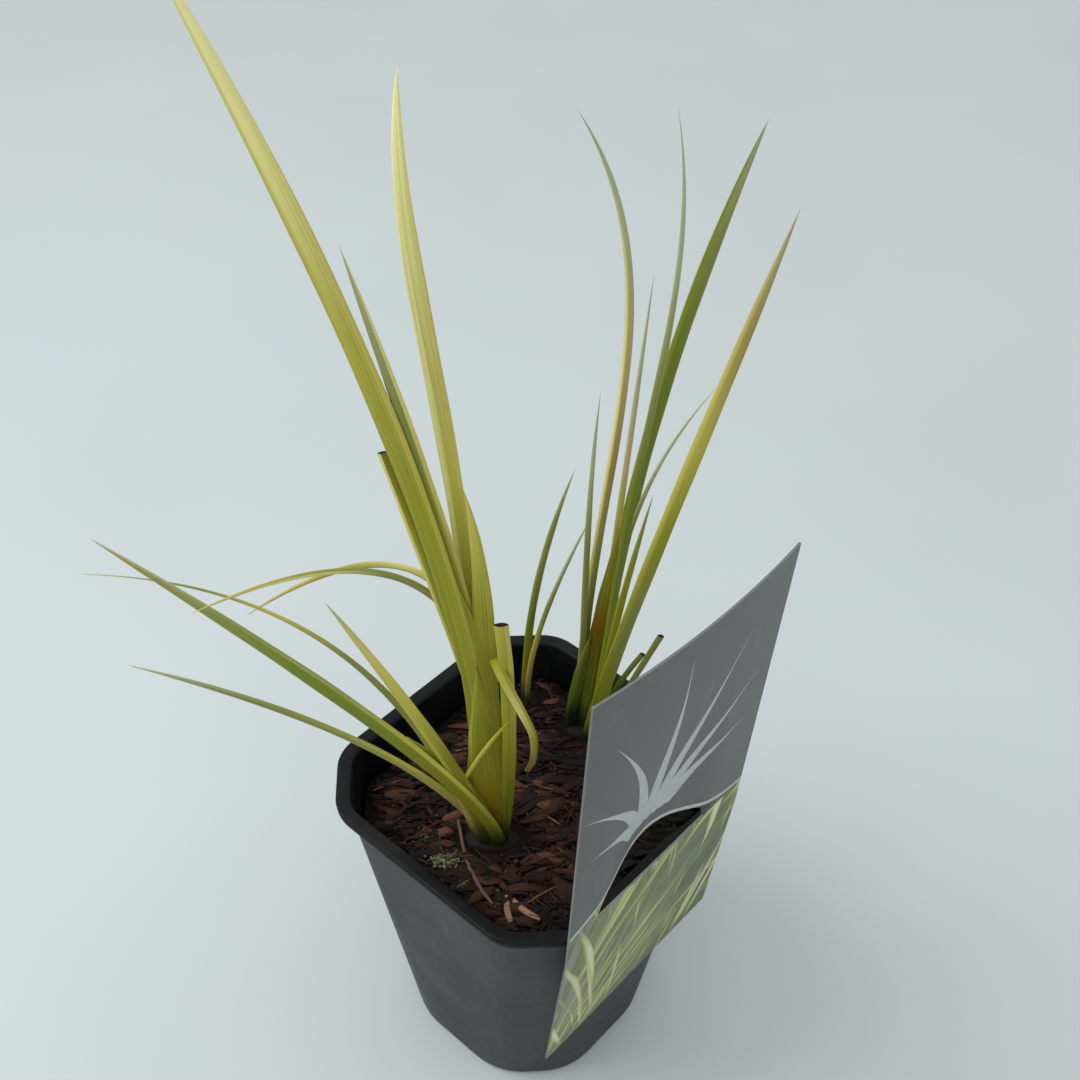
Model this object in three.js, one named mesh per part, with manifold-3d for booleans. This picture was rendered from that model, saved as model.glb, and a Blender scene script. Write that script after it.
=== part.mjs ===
// Young Japanese sweet flag in a square nursery pot, with a plain picture card hung over the rim.
// Millimetres, +Z up. The origin is the middle of the pot's flat underside, and -Y faces the viewer.

import * as THREE from 'three';
import { mergeVertices } from 'three/addons/utils/BufferGeometryUtils.js';
import Module from 'manifold-3d';

// Driving dimensions of the pot, a soft octagon: a square whose corners are cut and rounded
const POT_HEIGHT = 99;
const POT_TURN = 48.9;
const RIM = { halfWidth: 45, cornerCut: 14.8, bendRadius: 13 };
const BASE = { halfWidth: 32, cornerCut: 15.7, bendRadius: 21 };
const WALL = 1;
const LIP_OVERHANG = 3.2;
const LIP_DEPTH = 2.1;
const LIP_THICKNESS = 1;
const SKIRT_THICKNESS = 0.8;
const EDGE_ROUNDING = 0.4;
const FLOOR = 1.4;
const FOOT_ROUNDING = 1.2;
const DRAIN_RADIUS = 3.5;
const DRAIN_CIRCLE = 22;
const DRAIN_COUNT = 8;
const BEND_STEPS = 4;

// Driving dimensions of the soil and of what stands in it
const FIT_GAP = 0.3;
const SOIL_LEVEL = 86;
const SOIL_RELIEF = 1.3;
const SURFACE_RINGS = 13;
const HOLE_DEPTH = 17;
const CHIP_COUNT = 64;
const CHIP_SEED = 29;

// Driving dimensions of the card and of the tongue that hooks it over the rim. Over the tongue's hinge
// the upper part is pressed in towards the plant, down to nothing at the end of the dent.
const CARD_WIDTH = 69;
const CARD_ABOVE_RIM = 97;
const CARD_BELOW_RIM = 52;
const CARD_THICKNESS = 0.6;
const CARD_SIDE_SHIFT = -3.8;
const CARD_LEAN_OUT = 3.6;
const CARD_LEAN_IN = 5.9;
const CARD_BOW = 2.3;
const CARD_TWIST = 1.2;
const CARD_DENT = 4;
const DENT_END = 80;
const CARD_COLUMNS = 14;
const CARD_ROWS = 9;
const TONGUE_WIDTH = 42;
const TONGUE_LENGTH = 12;
const TONGUE_SIDE_SHIFT = -3;
const TONGUE_BLUNT_END = 0.98;
const HINGE_RISE = 9;

// Colours
const POT_BLACK = 0x26292b;
const SOIL_BROWN = 0x3a1f16;
const LEAF_GOLD = 0xa3a63c;
const LEAF_GREEN = 0x7f9139;
const LEAF_DULL = 0x8b9440;
const CARD_GREY = 0x5f6262;

const wasm = await Module();
wasm.setup();

const Z_AXIS = new THREE.Vector3(0, 0, 1);
const degrees = THREE.MathUtils.degToRad;
const lerp = THREE.MathUtils.lerp;
const smoothstep = THREE.MathUtils.smoothstep;

// A closed three.js geometry as a solid, and a solid as a geometry
function toSolid(geometry) {
  const bare = geometry.clone();
  bare.deleteAttribute('normal');
  bare.deleteAttribute('uv');
  const welded = mergeVertices(bare, 1e-4);
  return new wasm.Manifold(new wasm.Mesh({
    numProp: 3,
    vertProperties: new Float32Array(welded.attributes.position.array),
    triVerts: new Uint32Array(welded.index.array),
  }));
}

function toGeometry(solid) {
  const mesh = solid.getMesh();
  const geometry = new THREE.BufferGeometry();
  geometry.setAttribute('position', new THREE.BufferAttribute(mesh.vertProperties, 3));
  geometry.setIndex(new THREE.BufferAttribute(mesh.triVerts, 1));
  geometry.computeVertexNormals();
  return geometry;
}

function fuse(geometries) {
  return geometries.map(toSolid).reduce((whole, piece) => whole.add(piece));
}

function namedMesh(name, geometry, color, roughness) {
  const material = new THREE.MeshStandardMaterial({ color, roughness, metalness: 0 });
  const mesh = new THREE.Mesh(geometry, material);
  mesh.name = name;
  return mesh;
}

// A closed skin over a row of rings with equal counts, each ring counterclockwise seen from the last one.
// A ring of one point is a tip. The first and last rings are capped round their middles.
function loft(rings) {
  const vertices = [];
  const faces = [];
  const starts = rings.map((ring) => {
    const start = vertices.length;
    vertices.push(...ring);
    return start;
  });
  for (let k = 0; k + 1 < rings.length; k += 1) {
    const count = Math.max(rings[k].length, rings[k + 1].length);
    for (let i = 0; i < count; i += 1) {
      const next = (i + 1) % count;
      const low = rings[k].length === 1 ? [starts[k], starts[k]] : [starts[k] + i, starts[k] + next];
      const highSingle = rings[k + 1].length === 1;
      const high = highSingle ? [starts[k + 1], starts[k + 1]] : [starts[k + 1] + i, starts[k + 1] + next];
      if (low[0] !== low[1]) faces.push(low[0], low[1], high[1]);
      if (high[0] !== high[1]) faces.push(low[0], high[1], high[0]);
    }
  }
  const cap = (ring, start, flip) => {
    if (ring.length < 3) return;
    const middle = vertices.length;
    const sum = ring.reduce((total, point) => total.add(point), new THREE.Vector3());
    vertices.push(sum.divideScalar(ring.length));
    for (let i = 0; i < ring.length; i += 1) {
      const here = start + i;
      const next = start + ((i + 1) % ring.length);
      faces.push(middle, flip ? next : here, flip ? here : next);
    }
  };
  cap(rings[0], starts[0], true);
  cap(rings.at(-1), starts.at(-1), false);
  const geometry = new THREE.BufferGeometry().setFromPoints(vertices);
  geometry.setIndex(faces);
  geometry.computeVertexNormals();
  return geometry;
}

// Pot outline: one ring of the soft octagon, turned to the pot's own direction
function octagon(size, z) {
  const { halfWidth, cornerCut, bendRadius } = size;
  const tangent = bendRadius * Math.tan(Math.PI / 8);
  const ring = [];
  for (let quarter = 0; quarter < 4; quarter += 1) {
    const turn = degrees(POT_TURN) + (quarter * Math.PI) / 2;
    const centres = [
      [halfWidth - bendRadius, halfWidth - cornerCut - tangent],
      [halfWidth - cornerCut - tangent, halfWidth - bendRadius],
    ];
    centres.forEach(([cx, cy], bend) => {
      for (let step = 0; step <= BEND_STEPS; step += 1) {
        const angle = ((bend + step / BEND_STEPS) * Math.PI) / 4;
        const x = cx + bendRadius * Math.cos(angle);
        const y = cy + bendRadius * Math.sin(angle);
        ring.push(new THREE.Vector3(x, y, z).applyAxisAngle(Z_AXIS, turn));
      }
    });
  }
  return ring;
}

// The same octagon drawn in by a distance: the cut corners keep their direction
function inset(size, distance) {
  return {
    halfWidth: size.halfWidth - distance,
    cornerCut: size.cornerCut - (2 - Math.SQRT2) * distance,
    bendRadius: size.bendRadius - distance,
  };
}

// The wall's outer size at a height: straight from the base to just under the lip
const WALL_TOP = inset(RIM, LIP_OVERHANG);
const LIP_BOTTOM = POT_HEIGHT - LIP_DEPTH;
function wallSize(z) {
  const part = z / LIP_BOTTOM;
  return {
    halfWidth: lerp(BASE.halfWidth, WALL_TOP.halfWidth, part),
    cornerCut: lerp(BASE.cornerCut, WALL_TOP.cornerCut, part),
    bendRadius: lerp(BASE.bendRadius, WALL_TOP.bendRadius, part),
  };
}

// Pot: outside up to the lip, over it, down the inside to the floor, with drain holes near the edge
function makePot() {
  const lipUnderside = POT_HEIGHT - LIP_THICKNESS;
  const lipSkirt = inset(RIM, SKIRT_THICKNESS);
  const profile = [
    [inset(BASE, FOOT_ROUNDING), 0],
    [inset(wallSize(FOOT_ROUNDING), FOOT_ROUNDING * 0.2), FOOT_ROUNDING * 0.5],
    [wallSize(FOOT_ROUNDING * 1.5), FOOT_ROUNDING * 1.5],
    [wallSize(lipUnderside), lipUnderside],
    [lipSkirt, lipUnderside],
    [lipSkirt, LIP_BOTTOM],
    [RIM, LIP_BOTTOM],
    [RIM, POT_HEIGHT - EDGE_ROUNDING],
    [inset(RIM, EDGE_ROUNDING), POT_HEIGHT],
    [inset(RIM, LIP_OVERHANG + WALL - EDGE_ROUNDING), POT_HEIGHT],
    [inset(wallSize(POT_HEIGHT - EDGE_ROUNDING), WALL), POT_HEIGHT - EDGE_ROUNDING],
    [inset(wallSize(FLOOR + FOOT_ROUNDING), WALL), FLOOR + FOOT_ROUNDING],
    [inset(wallSize(FLOOR), WALL + FOOT_ROUNDING), FLOOR],
  ];
  const shell = toSolid(loft(profile.map(([size, z]) => octagon(size, z))));
  const holes = [];
  for (let k = 0; k < DRAIN_COUNT; k += 1) {
    const angle = degrees(POT_TURN) + ((k + 0.5) * 2 * Math.PI) / DRAIN_COUNT;
    const hole = new THREE.CylinderGeometry(DRAIN_RADIUS, DRAIN_RADIUS, 4 * FLOOR, 12);
    hole.rotateX(Math.PI / 2);
    hole.translate(DRAIN_CIRCLE * Math.cos(angle), DRAIN_CIRCLE * Math.sin(angle), FLOOR / 2);
    holes.push(hole);
  }
  return toGeometry(shell.subtract(fuse(holes)));
}

// Rootstocks: each clump stands on a short flattened stub, and the soil has a plain hole for it
const ROOTSTOCKS = {
  front: { x: -10.5, y: -12, alongX: 8.5, alongY: 4.4 },
  right: { x: 16.5, y: 28.5, alongX: 7.5, alongY: 4.2 },
  back: { x: -1, y: 38, alongX: 3.2, alongY: 2.6 },
};
const STUB_SIDES = 14;

function ellipse({ x, y, alongX, alongY }, grow, z) {
  const ring = [];
  for (let k = 0; k < STUB_SIDES; k += 1) {
    const angle = (k * 2 * Math.PI) / STUB_SIDES;
    const stubX = x + (alongX + grow) * Math.cos(angle);
    const stubY = y + (alongY + grow) * Math.sin(angle);
    ring.push(new THREE.Vector3(stubX, stubY, z));
  }
  return ring;
}

function rootstock(place) {
  const bottom = SOIL_LEVEL - HOLE_DEPTH + FIT_GAP;
  return loft([
    ellipse(place, -1.2, bottom),
    ellipse(place, 0, bottom + 3),
    ellipse(place, 0, SOIL_LEVEL - 0.8),
    ellipse(place, -1.4, SOIL_LEVEL + 0.6),
  ]);
}

function rootHole(place) {
  return loft([
    ellipse(place, FIT_GAP, SOIL_LEVEL - HOLE_DEPTH),
    ellipse(place, FIT_GAP, SOIL_LEVEL + 10),
  ]);
}

// Soil surface: lumps by a formula, calm round the rootstocks and at the wall
function nearRootstock(x, y) {
  const distances = Object.values(ROOTSTOCKS).map((place) => {
    const reach = Math.hypot((x - place.x) / place.alongX, (y - place.y) / place.alongY);
    return (reach - 1) * place.alongY;
  });
  return Math.min(...distances);
}

function soilHeight(x, y) {
  const broad = Math.sin(0.16 * x + 0.7) * Math.cos(0.13 * y - 0.4);
  const lumps = Math.sin(0.83 * x + 0.31 * y) * Math.cos(0.71 * y - 0.42 * x + 1.1);
  const crumbs = Math.sin(1.9 * x - 1.2 * y + 2) * Math.sin(1.6 * y + 0.9 * x);
  const calm = smoothstep(nearRootstock(x, y), 0, 4);
  return SOIL_LEVEL + SOIL_RELIEF * calm * (0.5 * broad + 0.5 * lumps + 0.35 * crumbs);
}

// Bark chips: thin slabs sunk in the surface at seeded places
function randomFrom(seed) {
  let state = seed;
  return () => {
    state = (state * 1664525 + 1013904223) % 4294967296;
    return state / 4294967296;
  };
}

function barkChips() {
  const random = randomFrom(CHIP_SEED);
  const chips = [];
  while (chips.length < CHIP_COUNT) {
    const x = lerp(-50, 50, random());
    const y = lerp(-50, 50, random());
    const length = lerp(4, 10, random());
    const width = lerp(1.4, 3, random());
    const turn = random() * Math.PI;
    const tilt = lerp(-0.25, 0.25, random());
    if (!insidePot(x, y, 2 + length / 2) || nearRootstock(x, y) < 3 + length / 2) continue;
    const chip = new THREE.BoxGeometry(length, width, 2.2);
    chip.rotateY(tilt);
    chip.rotateZ(turn);
    chip.translate(x, y, soilHeight(x, y));
    chips.push(chip);
  }
  return chips;
}

function insidePot(x, y, margin) {
  const size = inset(wallSize(SOIL_LEVEL), WALL + margin);
  const turned = new THREE.Vector2(x, y).rotateAround(new THREE.Vector2(), -degrees(POT_TURN));
  const across = Math.max(Math.abs(turned.x), Math.abs(turned.y));
  const diagonal = Math.abs(turned.x) + Math.abs(turned.y);
  return across < size.halfWidth && diagonal < 2 * size.halfWidth - size.cornerCut;
}

// Dry straws half sunk in the soil near the front corner
const STRAWS = [
  [[-20, -7], [-17, -20], [-13, -29], [-9.5, -34]],
  [[-6, -31], [-5.5, -36], [-4.6, -39.5]],
  [[-5, -31], [-1, -36], [3, -38.5]],
];

function straw(route) {
  const points = route.map(([x, y]) => new THREE.Vector3(x, y, SOIL_LEVEL + SOIL_RELIEF * 0.8));
  const path = new THREE.CatmullRomCurve3(points);
  const section = new THREE.Shape([[-0.6, -0.8], [0.6, -0.8], [0.6, 0.6], [-0.6, 0.6]].map(
    ([x, y]) => new THREE.Vector2(x, y),
  ));
  return new THREE.ExtrudeGeometry(section, { steps: 8, extrudePath: path });
}

function makeSoil() {
  const bottom = FLOOR + FIT_GAP;
  const sideSize = (z) => inset(wallSize(z), WALL + FIT_GAP);
  const edgeTop = SOIL_LEVEL - 1.5;
  const surface = sideSize(edgeTop);
  const rings = [
    octagon(inset(sideSize(bottom), FOOT_ROUNDING), bottom),
    octagon(sideSize(bottom + FOOT_ROUNDING), bottom + FOOT_ROUNDING),
    octagon(surface, edgeTop),
  ];
  for (let k = 0; k < SURFACE_RINGS; k += 1) {
    const scale = 0.985 - (k * 0.95) / SURFACE_RINGS;
    const ring = octagon(surface, 0).map((point) => {
      const x = point.x * scale;
      const y = point.y * scale;
      return new THREE.Vector3(x, y, soilHeight(x, y));
    });
    rings.push(ring);
  }
  const ground = toSolid(loft(rings)).add(fuse([...barkChips(), ...STRAWS.map(straw)]));
  return toGeometry(ground.subtract(fuse(Object.values(ROOTSTOCKS).map(rootHole))));
}

// Blade: a flattened spear along a bowed spine. The heading is the compass direction of the tip, in
// degrees from +X; reach and height place the tip from the root and over the soil; bow lifts the spine
// off its chord and sway pushes it sideways, most at bendAt of the length. The flat side looks to -Y.
// The foot is the sheathing base's width, a high fullness keeps the blade wide until close to its tip,
// and a cut end is left square.
const ROOT_HEIGHT = 80;
const FOOT_LENGTH = 0.3;
const BLADE_STEPS = 12;
const THINNEST_PART = 0.6;
const FACING = new THREE.Vector3(0, -1, 0);

// Four corners of a flat section whose wide side looks to -Y
function flatSection(middle, along, half, depth) {
  const across = new THREE.Vector3().crossVectors(along, FACING).normalize();
  const through = new THREE.Vector3().crossVectors(along, across);
  return [[half, 0], [0, depth], [-half, 0], [0, -depth]].map(
    ([a, b]) => middle.clone().addScaledVector(across, a).addScaledVector(through, b),
  );
}

function blade(leaf) {
  const { root, heading, reach, height, width, bow = 0, sway = 0, bendAt = 0.5 } = leaf;
  const { foot = width, thick = 1, fullness = 5, cutEnd = false } = leaf;
  const [x, y, z = ROOT_HEIGHT] = root;
  const side = new THREE.Vector3(-Math.sin(degrees(heading)), Math.cos(degrees(heading)), 0);
  const start = new THREE.Vector3(x, y, z);
  const tip = new THREE.Vector3(
    x + reach * Math.cos(degrees(heading)),
    y + reach * Math.sin(degrees(heading)),
    SOIL_LEVEL + height,
  );
  const chord = tip.clone().sub(start);
  const up = new THREE.Vector3().crossVectors(chord, side).normalize();
  if (up.z < 0) up.negate();
  const skew = Math.log(0.5) / Math.log(bendAt);
  const spine = (u) => {
    const v = u ** skew;
    const lift = 4 * v * (1 - v);
    const onChord = start.clone().addScaledVector(chord, u);
    return onChord.addScaledVector(up, lift * bow).addScaledVector(side, lift * sway);
  };
  const rings = [];
  for (let k = 0; k <= BLADE_STEPS; k += 1) {
    const u = k / BLADE_STEPS;
    if (k === BLADE_STEPS && !cutEnd) {
      rings.push([spine(1)]);
      break;
    }
    const along = spine(Math.min(u + 0.01, 1)).sub(spine(Math.max(u - 0.01, 0))).normalize();
    const taper = cutEnd ? 1 : 1 - u ** fullness;
    const half = (lerp(foot, width, smoothstep(u, 0, FOOT_LENGTH)) / 2) * taper;
    const depth = (thick / 2) * Math.max(Math.sqrt(taper), THINNEST_PART);
    rings.push(flatSection(spine(u), along, half, depth));
  }
  return loft(rings);
}

// Front clump: the tall flattened fan, the shoot that leans left from its foot, and its broken leaves
const FRONT_FAN = [
  { root: [-10.8, -11.2], heading: 168.1, reach: 60.8, height: 237.9, bow: 14.8, sway: 0.8, bendAt: 0.46,
    width: 5, foot: 5, thick: 1.5, fullness: 10 },
  { root: [-10.4, -11.5, 104], heading: 169.3, reach: 29.6, height: 181.6, bow: 5, sway: -2.4,
    bendAt: 0.36, width: 4, foot: 4.5 },
  { root: [-9.4, -8.9, 108], heading: 143.3, reach: 22.4, height: 214.3, bow: 2.5, sway: 6.2, bendAt: 0.85,
    width: 4.3, foot: 5, fullness: 11 },
  { root: [-15.2, -10.3, 112], heading: 165, reach: 19.4, height: 129.2, bow: 6.9, sway: 0.9, bendAt: 0.15,
    width: 2.4, foot: 3, cutEnd: true },
  { root: [-8.6, -11.5], heading: 137.5, reach: 10.8, height: 118.4, bow: 3.9, sway: 0.8, bendAt: 0.8,
    width: 6.2, foot: 3, thick: 2.2 },
  { root: [-9.2, -11.5], heading: 165, reach: 11.8, height: 98, bow: 4, width: 8, foot: 4.5, thick: 2.6 },
  { root: [-9.8, -12], heading: 168.5, reach: 9, height: 80, bow: 1.5, sway: -0.7, bendAt: 0.61,
    width: 6, foot: 4, thick: 2.4 },
  { root: [-9.8, -12.6], heading: 165, reach: 4.2, height: 68, width: 12.4, foot: 3.6, thick: 3.6,
    fullness: 2.2 },
];
const FRONT_THIN = [
  { root: [-13.5, -11, 142], heading: 171, reach: 58, height: 74, bow: 20, sway: -14.5, bendAt: 0.44,
    width: 2.2 },
  { root: [-13.5, -11, 137], heading: 190, reach: 65, height: 95, bow: 22, sway: -11, bendAt: 0.44,
    width: 2.2 },
  { root: [-18.6, -13.4, 109.6], heading: -22.4, reach: 13.8, height: 56.3, bow: 0.6, width: 1.4 },
  { root: [-7.8, -13, 84], heading: 270, reach: 0.8, height: 85, sway: 2, width: 3.6, foot: 3, thick: 1.4,
    cutEnd: true },
];
const LEFT_SHOOT = [
  { root: [-10.6, -13.4, 82], heading: 173.1, reach: 94.4, height: 99, bow: 14.4, sway: 3.1, bendAt: 0.3,
    width: 4.8, foot: 4, thick: 1.2 },
  { root: [-10.6, -13.4, 82], heading: 185.4, reach: 84.8, height: 76.7, bow: 11.8, sway: -1.1, bendAt: 0.41,
    width: 2.8, foot: 3.2 },
  { root: [-11.2, -12.4, 84], heading: 173.6, reach: 38.8, height: 85.6, bow: 6, sway: 3, bendAt: 0.39,
    width: 3.8, foot: 3.4 },
  { root: [-11.5, -12.5, 84], heading: 171.1, reach: 101, height: 82.3, bow: 19.7, sway: -9.1,
    bendAt: 0.54, width: 2.8, foot: 3.2, fullness: 1.6 },
  { root: [-11, -13.3], heading: 174.4, reach: 21.5, height: 41, bow: 5.5, sway: 0.5, width: 8.4, foot: 3.4,
    thick: 2.8, fullness: 3 },
];

// Bent strap: a dead leaf that leaves the fan high up, hangs down beside it and curls under
const STRAP_TOP_WIDTH = 3;
const STRAP_END_WIDTH = 1.5;
const STRAP_THICKNESS = 0.9;
const STRAP_STEPS = 14;
const STRAP_ROUTE = [
  [-9.4, -12.6, 158], [-6.8, -15.5, 153], [-2.8, -16, 143], [0.2, -14.5, 132], [0.3, -11, 119],
  [-1.2, -6, 108],
];

function strap() {
  const path = new THREE.CatmullRomCurve3(STRAP_ROUTE.map((point) => new THREE.Vector3(...point)));
  const rings = [];
  for (let k = 0; k <= STRAP_STEPS; k += 1) {
    const u = k / STRAP_STEPS;
    const half = lerp(STRAP_TOP_WIDTH, STRAP_END_WIDTH, u) / 2;
    rings.push(flatSection(path.getPoint(u), path.getTangent(u), half, STRAP_THICKNESS / 2));
  }
  return loft(rings);
}

function makeFrontClump() {
  const blades = [...FRONT_FAN, ...FRONT_THIN, ...LEFT_SHOOT].map(blade);
  return toGeometry(fuse([rootstock(ROOTSTOCKS.front), ...blades, strap()]));
}

// Right clump: slim blades that stand nearly upright, an outer short one and two cut ones
const RIGHT_CLUMP = [
  { root: [14, 29], heading: 139, reach: 10, height: 191, bow: 6, sway: -12, bendAt: 0.73,
    width: 2.4, foot: 3.6, fullness: 7 },
  { root: [18, 28], heading: -51, reach: 13, height: 201, bow: -5, sway: 2, bendAt: 0.8,
    width: 2, foot: 4 },
  { root: [17, 28], heading: -8, reach: 29, height: 195, bow: 6, sway: 10, width: 3.7, foot: 5.5,
    thick: 1.2, fullness: 8 },
  { root: [20, 29], heading: -23, reach: 36, height: 180, bow: 3, sway: -11, bendAt: 0.25,
    width: 3.8, foot: 5, fullness: 7 },
  { root: [16, 29], heading: 35, reach: 12, height: 151, width: 1.8, foot: 4 },
  { root: [13.4, 30], heading: -73, reach: 4, height: 124, sway: -1, bendAt: 0.7, width: 1.8, foot: 2.8 },
  { root: [18, 28], heading: 10.8, reach: 25.6, height: 121.3, bow: 9.5, sway: 1.3, bendAt: 0.62,
    width: 1.5, foot: 4 },
  { root: [18, 28], heading: -36, reach: 13, height: 97, sway: -4, bendAt: 0.45, width: 2.2, foot: 4 },
  { root: [14.1, 28.6], heading: -8, reach: 1.2, height: 38, bow: 3.2, sway: -0.6, bendAt: 0.22,
    width: 3.8, foot: 3.6 },
  { root: [16.2, 29], heading: 23.7, reach: 5.9, height: 75.8, bow: 0.6, sway: -0.6, bendAt: 0.54,
    width: 8.6, foot: 7, thick: 2.8, fullness: 3 },
  { root: [18, 28], heading: -26.9, reach: 17.7, height: 47.6, width: 1.9, foot: 2, cutEnd: true },
  { root: [17, 27], heading: -20.7, reach: 13.4, height: 38, bow: 1.7, sway: -0.5, width: 1.8, foot: 2,
    cutEnd: true },
];

function makeRightClump() {
  return toGeometry(fuse([rootstock(ROOTSTOCKS.right), ...RIGHT_CLUMP.map(blade)]));
}

// Back shoot: two thin leaves near the far corner
const BACK_SHOOT = [
  { root: [-2, 38], heading: 9.5, reach: 12, height: 89, bow: 4.4, width: 2.2, foot: 3 },
  { root: [-0.5, 38.5], heading: -15, reach: 16, height: 78.7, bow: 4.5, sway: -6, bendAt: 0.45, width: 1.6 },
];

function makeBackShoot() {
  return toGeometry(fuse([rootstock(ROOTSTOCKS.back), ...BACK_SHOOT.map(blade)]));
}

// Card: a thin sheet folded slightly along the rim. Its upper part leans out, its lower part leans in
const OUT = new THREE.Vector3(Math.sin(degrees(POT_TURN)), -Math.cos(degrees(POT_TURN)), 0);
const ALONG = new THREE.Vector3(Math.cos(degrees(POT_TURN)), Math.sin(degrees(POT_TURN)), 0);
const CARD_OUT = RIM.halfWidth + 2 * FIT_GAP + CARD_THICKNESS / 2;
const FOLD_HEIGHT = POT_HEIGHT + FIT_GAP + CARD_THICKNESS / 2;

function cardDent(across, rise) {
  const offCentre = (across - TONGUE_SIDE_SHIFT) / (TONGUE_WIDTH / 2 + 2);
  if (rise <= HINGE_RISE || Math.abs(offCentre) >= 1) return 0;
  const left = 1 - smoothstep(rise, HINGE_RISE + TONGUE_LENGTH, DENT_END);
  return CARD_DENT * (1 - offCentre ** 2) ** 2 * left;
}

function cardPoint(across, rise, lift) {
  const lean = degrees(rise > 0 ? CARD_LEAN_OUT : CARD_LEAN_IN);
  const edge = (2 * across) / CARD_WIDTH;
  const bend = CARD_BOW * (0.4 - edge * edge) + CARD_TWIST * edge;
  const warp = Math.max(rise, 0) / CARD_ABOVE_RIM * bend;
  const flat = CARD_OUT + rise * Math.sin(lean) + warp + lift;
  return new THREE.Vector3(0, 0, FOLD_HEIGHT + rise * Math.cos(lean))
    .addScaledVector(OUT, flat - cardDent(across, rise))
    .addScaledVector(ALONG, CARD_SIDE_SHIFT + across);
}

function cardSheet() {
  const rises = [-CARD_BELOW_RIM, -CARD_BELOW_RIM / 2, 0, HINGE_RISE];
  const dented = HINGE_RISE + CARD_THICKNESS;
  for (let k = 0; k <= CARD_ROWS; k += 1) rises.push(lerp(dented, CARD_ABOVE_RIM, k / CARD_ROWS));
  const places = [];
  for (let k = 0; k <= CARD_COLUMNS; k += 1) places.push(CARD_WIDTH * (k / CARD_COLUMNS - 0.5));
  const rings = rises.map((rise) => [
    ...places.map((across) => cardPoint(across, rise, CARD_THICKNESS / 2)),
    ...places.toReversed().map((across) => cardPoint(across, rise, -CARD_THICKNESS / 2)),
  ]);
  return toSolid(loft(rings));
}

// Tongue: the arched flap cut from the card. It slants from its hinge in over the lip, and its end
// reaches down behind the wall.
const HINGE_HEIGHT = FOLD_HEIGHT + HINGE_RISE * Math.cos(degrees(CARD_LEAN_OUT));
const HINGE_OUT = CARD_OUT + HINGE_RISE * Math.sin(degrees(CARD_LEAN_OUT));

function tongueWindow() {
  const arch = new THREE.Shape();
  arch.absellipse(0, 0, TONGUE_WIDTH / 2, TONGUE_LENGTH, 0, Math.PI);
  const depth = 30;
  const prism = new THREE.ExtrudeGeometry(arch, { depth, bevelEnabled: false, curveSegments: 14 });
  const corner = OUT.clone().multiplyScalar(CARD_OUT - depth / 2);
  corner.addScaledVector(ALONG, CARD_SIDE_SHIFT + TONGUE_SIDE_SHIFT).setZ(HINGE_HEIGHT);
  const place = new THREE.Matrix4().makeBasis(ALONG, Z_AXIS, OUT).setPosition(corner);
  return toSolid(prism.applyMatrix4(place));
}

function tongue() {
  const wallFace = inset(wallSize(POT_HEIGHT), WALL + FIT_GAP + CARD_THICKNESS / 2).halfWidth;
  const clearOfLip = FOLD_HEIGHT + 2 * FIT_GAP;
  const corners = [
    [HINGE_OUT, HINGE_HEIGHT - CARD_THICKNESS / 2],
    [lerp(HINGE_OUT, wallFace, 0.5), lerp(HINGE_HEIGHT, clearOfLip, 0.5)],
    [wallFace + 0.4, clearOfLip],
    [wallFace - 0.6, clearOfLip - 2.4],
  ];
  const half = CARD_THICKNESS / 2;
  let length = 0;
  const rings = corners.map(([out, z], index) => {
    const before = corners[Math.max(index - 1, 0)];
    const after = corners[Math.min(index + 1, corners.length - 1)];
    if (index > 0) length += Math.hypot(out - before[0], z - before[1]);
    const run = new THREE.Vector2(after[0] - before[0], after[1] - before[1]).normalize();
    const normal = new THREE.Vector2(-run.y, run.x);
    const part = Math.min(length / TONGUE_LENGTH, TONGUE_BLUNT_END);
    const side = (TONGUE_WIDTH / 2) * Math.sqrt(1 - part ** 2);
    return [[-side, -half], [side, -half], [side, half], [-side, half]].map(([a, b]) => (
      new THREE.Vector3(0, 0, z + b * normal.y)
        .addScaledVector(OUT, out + b * normal.x)
        .addScaledVector(ALONG, CARD_SIDE_SHIFT + TONGUE_SIDE_SHIFT + a)
    ));
  });
  return toSolid(loft(rings));
}

function makeCard() {
  return toGeometry(cardSheet().subtract(tongueWindow()).add(tongue()));
}

const plant = new THREE.Group();
plant.add(
  namedMesh('pot', makePot(), POT_BLACK, 0.55),
  namedMesh('soil', makeSoil(), SOIL_BROWN, 0.95),
  namedMesh('front_clump', makeFrontClump(), LEAF_GOLD, 0.5),
  namedMesh('right_clump', makeRightClump(), LEAF_GREEN, 0.5),
  namedMesh('back_shoot', makeBackShoot(), LEAF_DULL, 0.5),
  namedMesh('label_card', makeCard(), CARD_GREY, 0.45),
);

export default plant;
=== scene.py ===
import math
import random
from typing import NamedTuple

import bmesh
import bpy
from mathutils import Matrix, Vector, noise


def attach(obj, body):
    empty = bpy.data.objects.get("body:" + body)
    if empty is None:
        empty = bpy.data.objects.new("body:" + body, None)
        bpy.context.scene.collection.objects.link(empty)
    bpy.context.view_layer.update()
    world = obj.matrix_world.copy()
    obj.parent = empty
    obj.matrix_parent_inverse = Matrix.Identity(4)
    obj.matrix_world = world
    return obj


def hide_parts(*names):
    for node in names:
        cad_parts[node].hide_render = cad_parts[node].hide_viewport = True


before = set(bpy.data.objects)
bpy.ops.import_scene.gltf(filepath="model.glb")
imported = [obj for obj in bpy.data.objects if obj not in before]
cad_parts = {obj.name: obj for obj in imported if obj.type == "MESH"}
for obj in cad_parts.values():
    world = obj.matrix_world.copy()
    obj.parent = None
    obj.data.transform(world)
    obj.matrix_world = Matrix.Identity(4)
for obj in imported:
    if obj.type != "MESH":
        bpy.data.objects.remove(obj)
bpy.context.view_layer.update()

MM = 0.001
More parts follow.
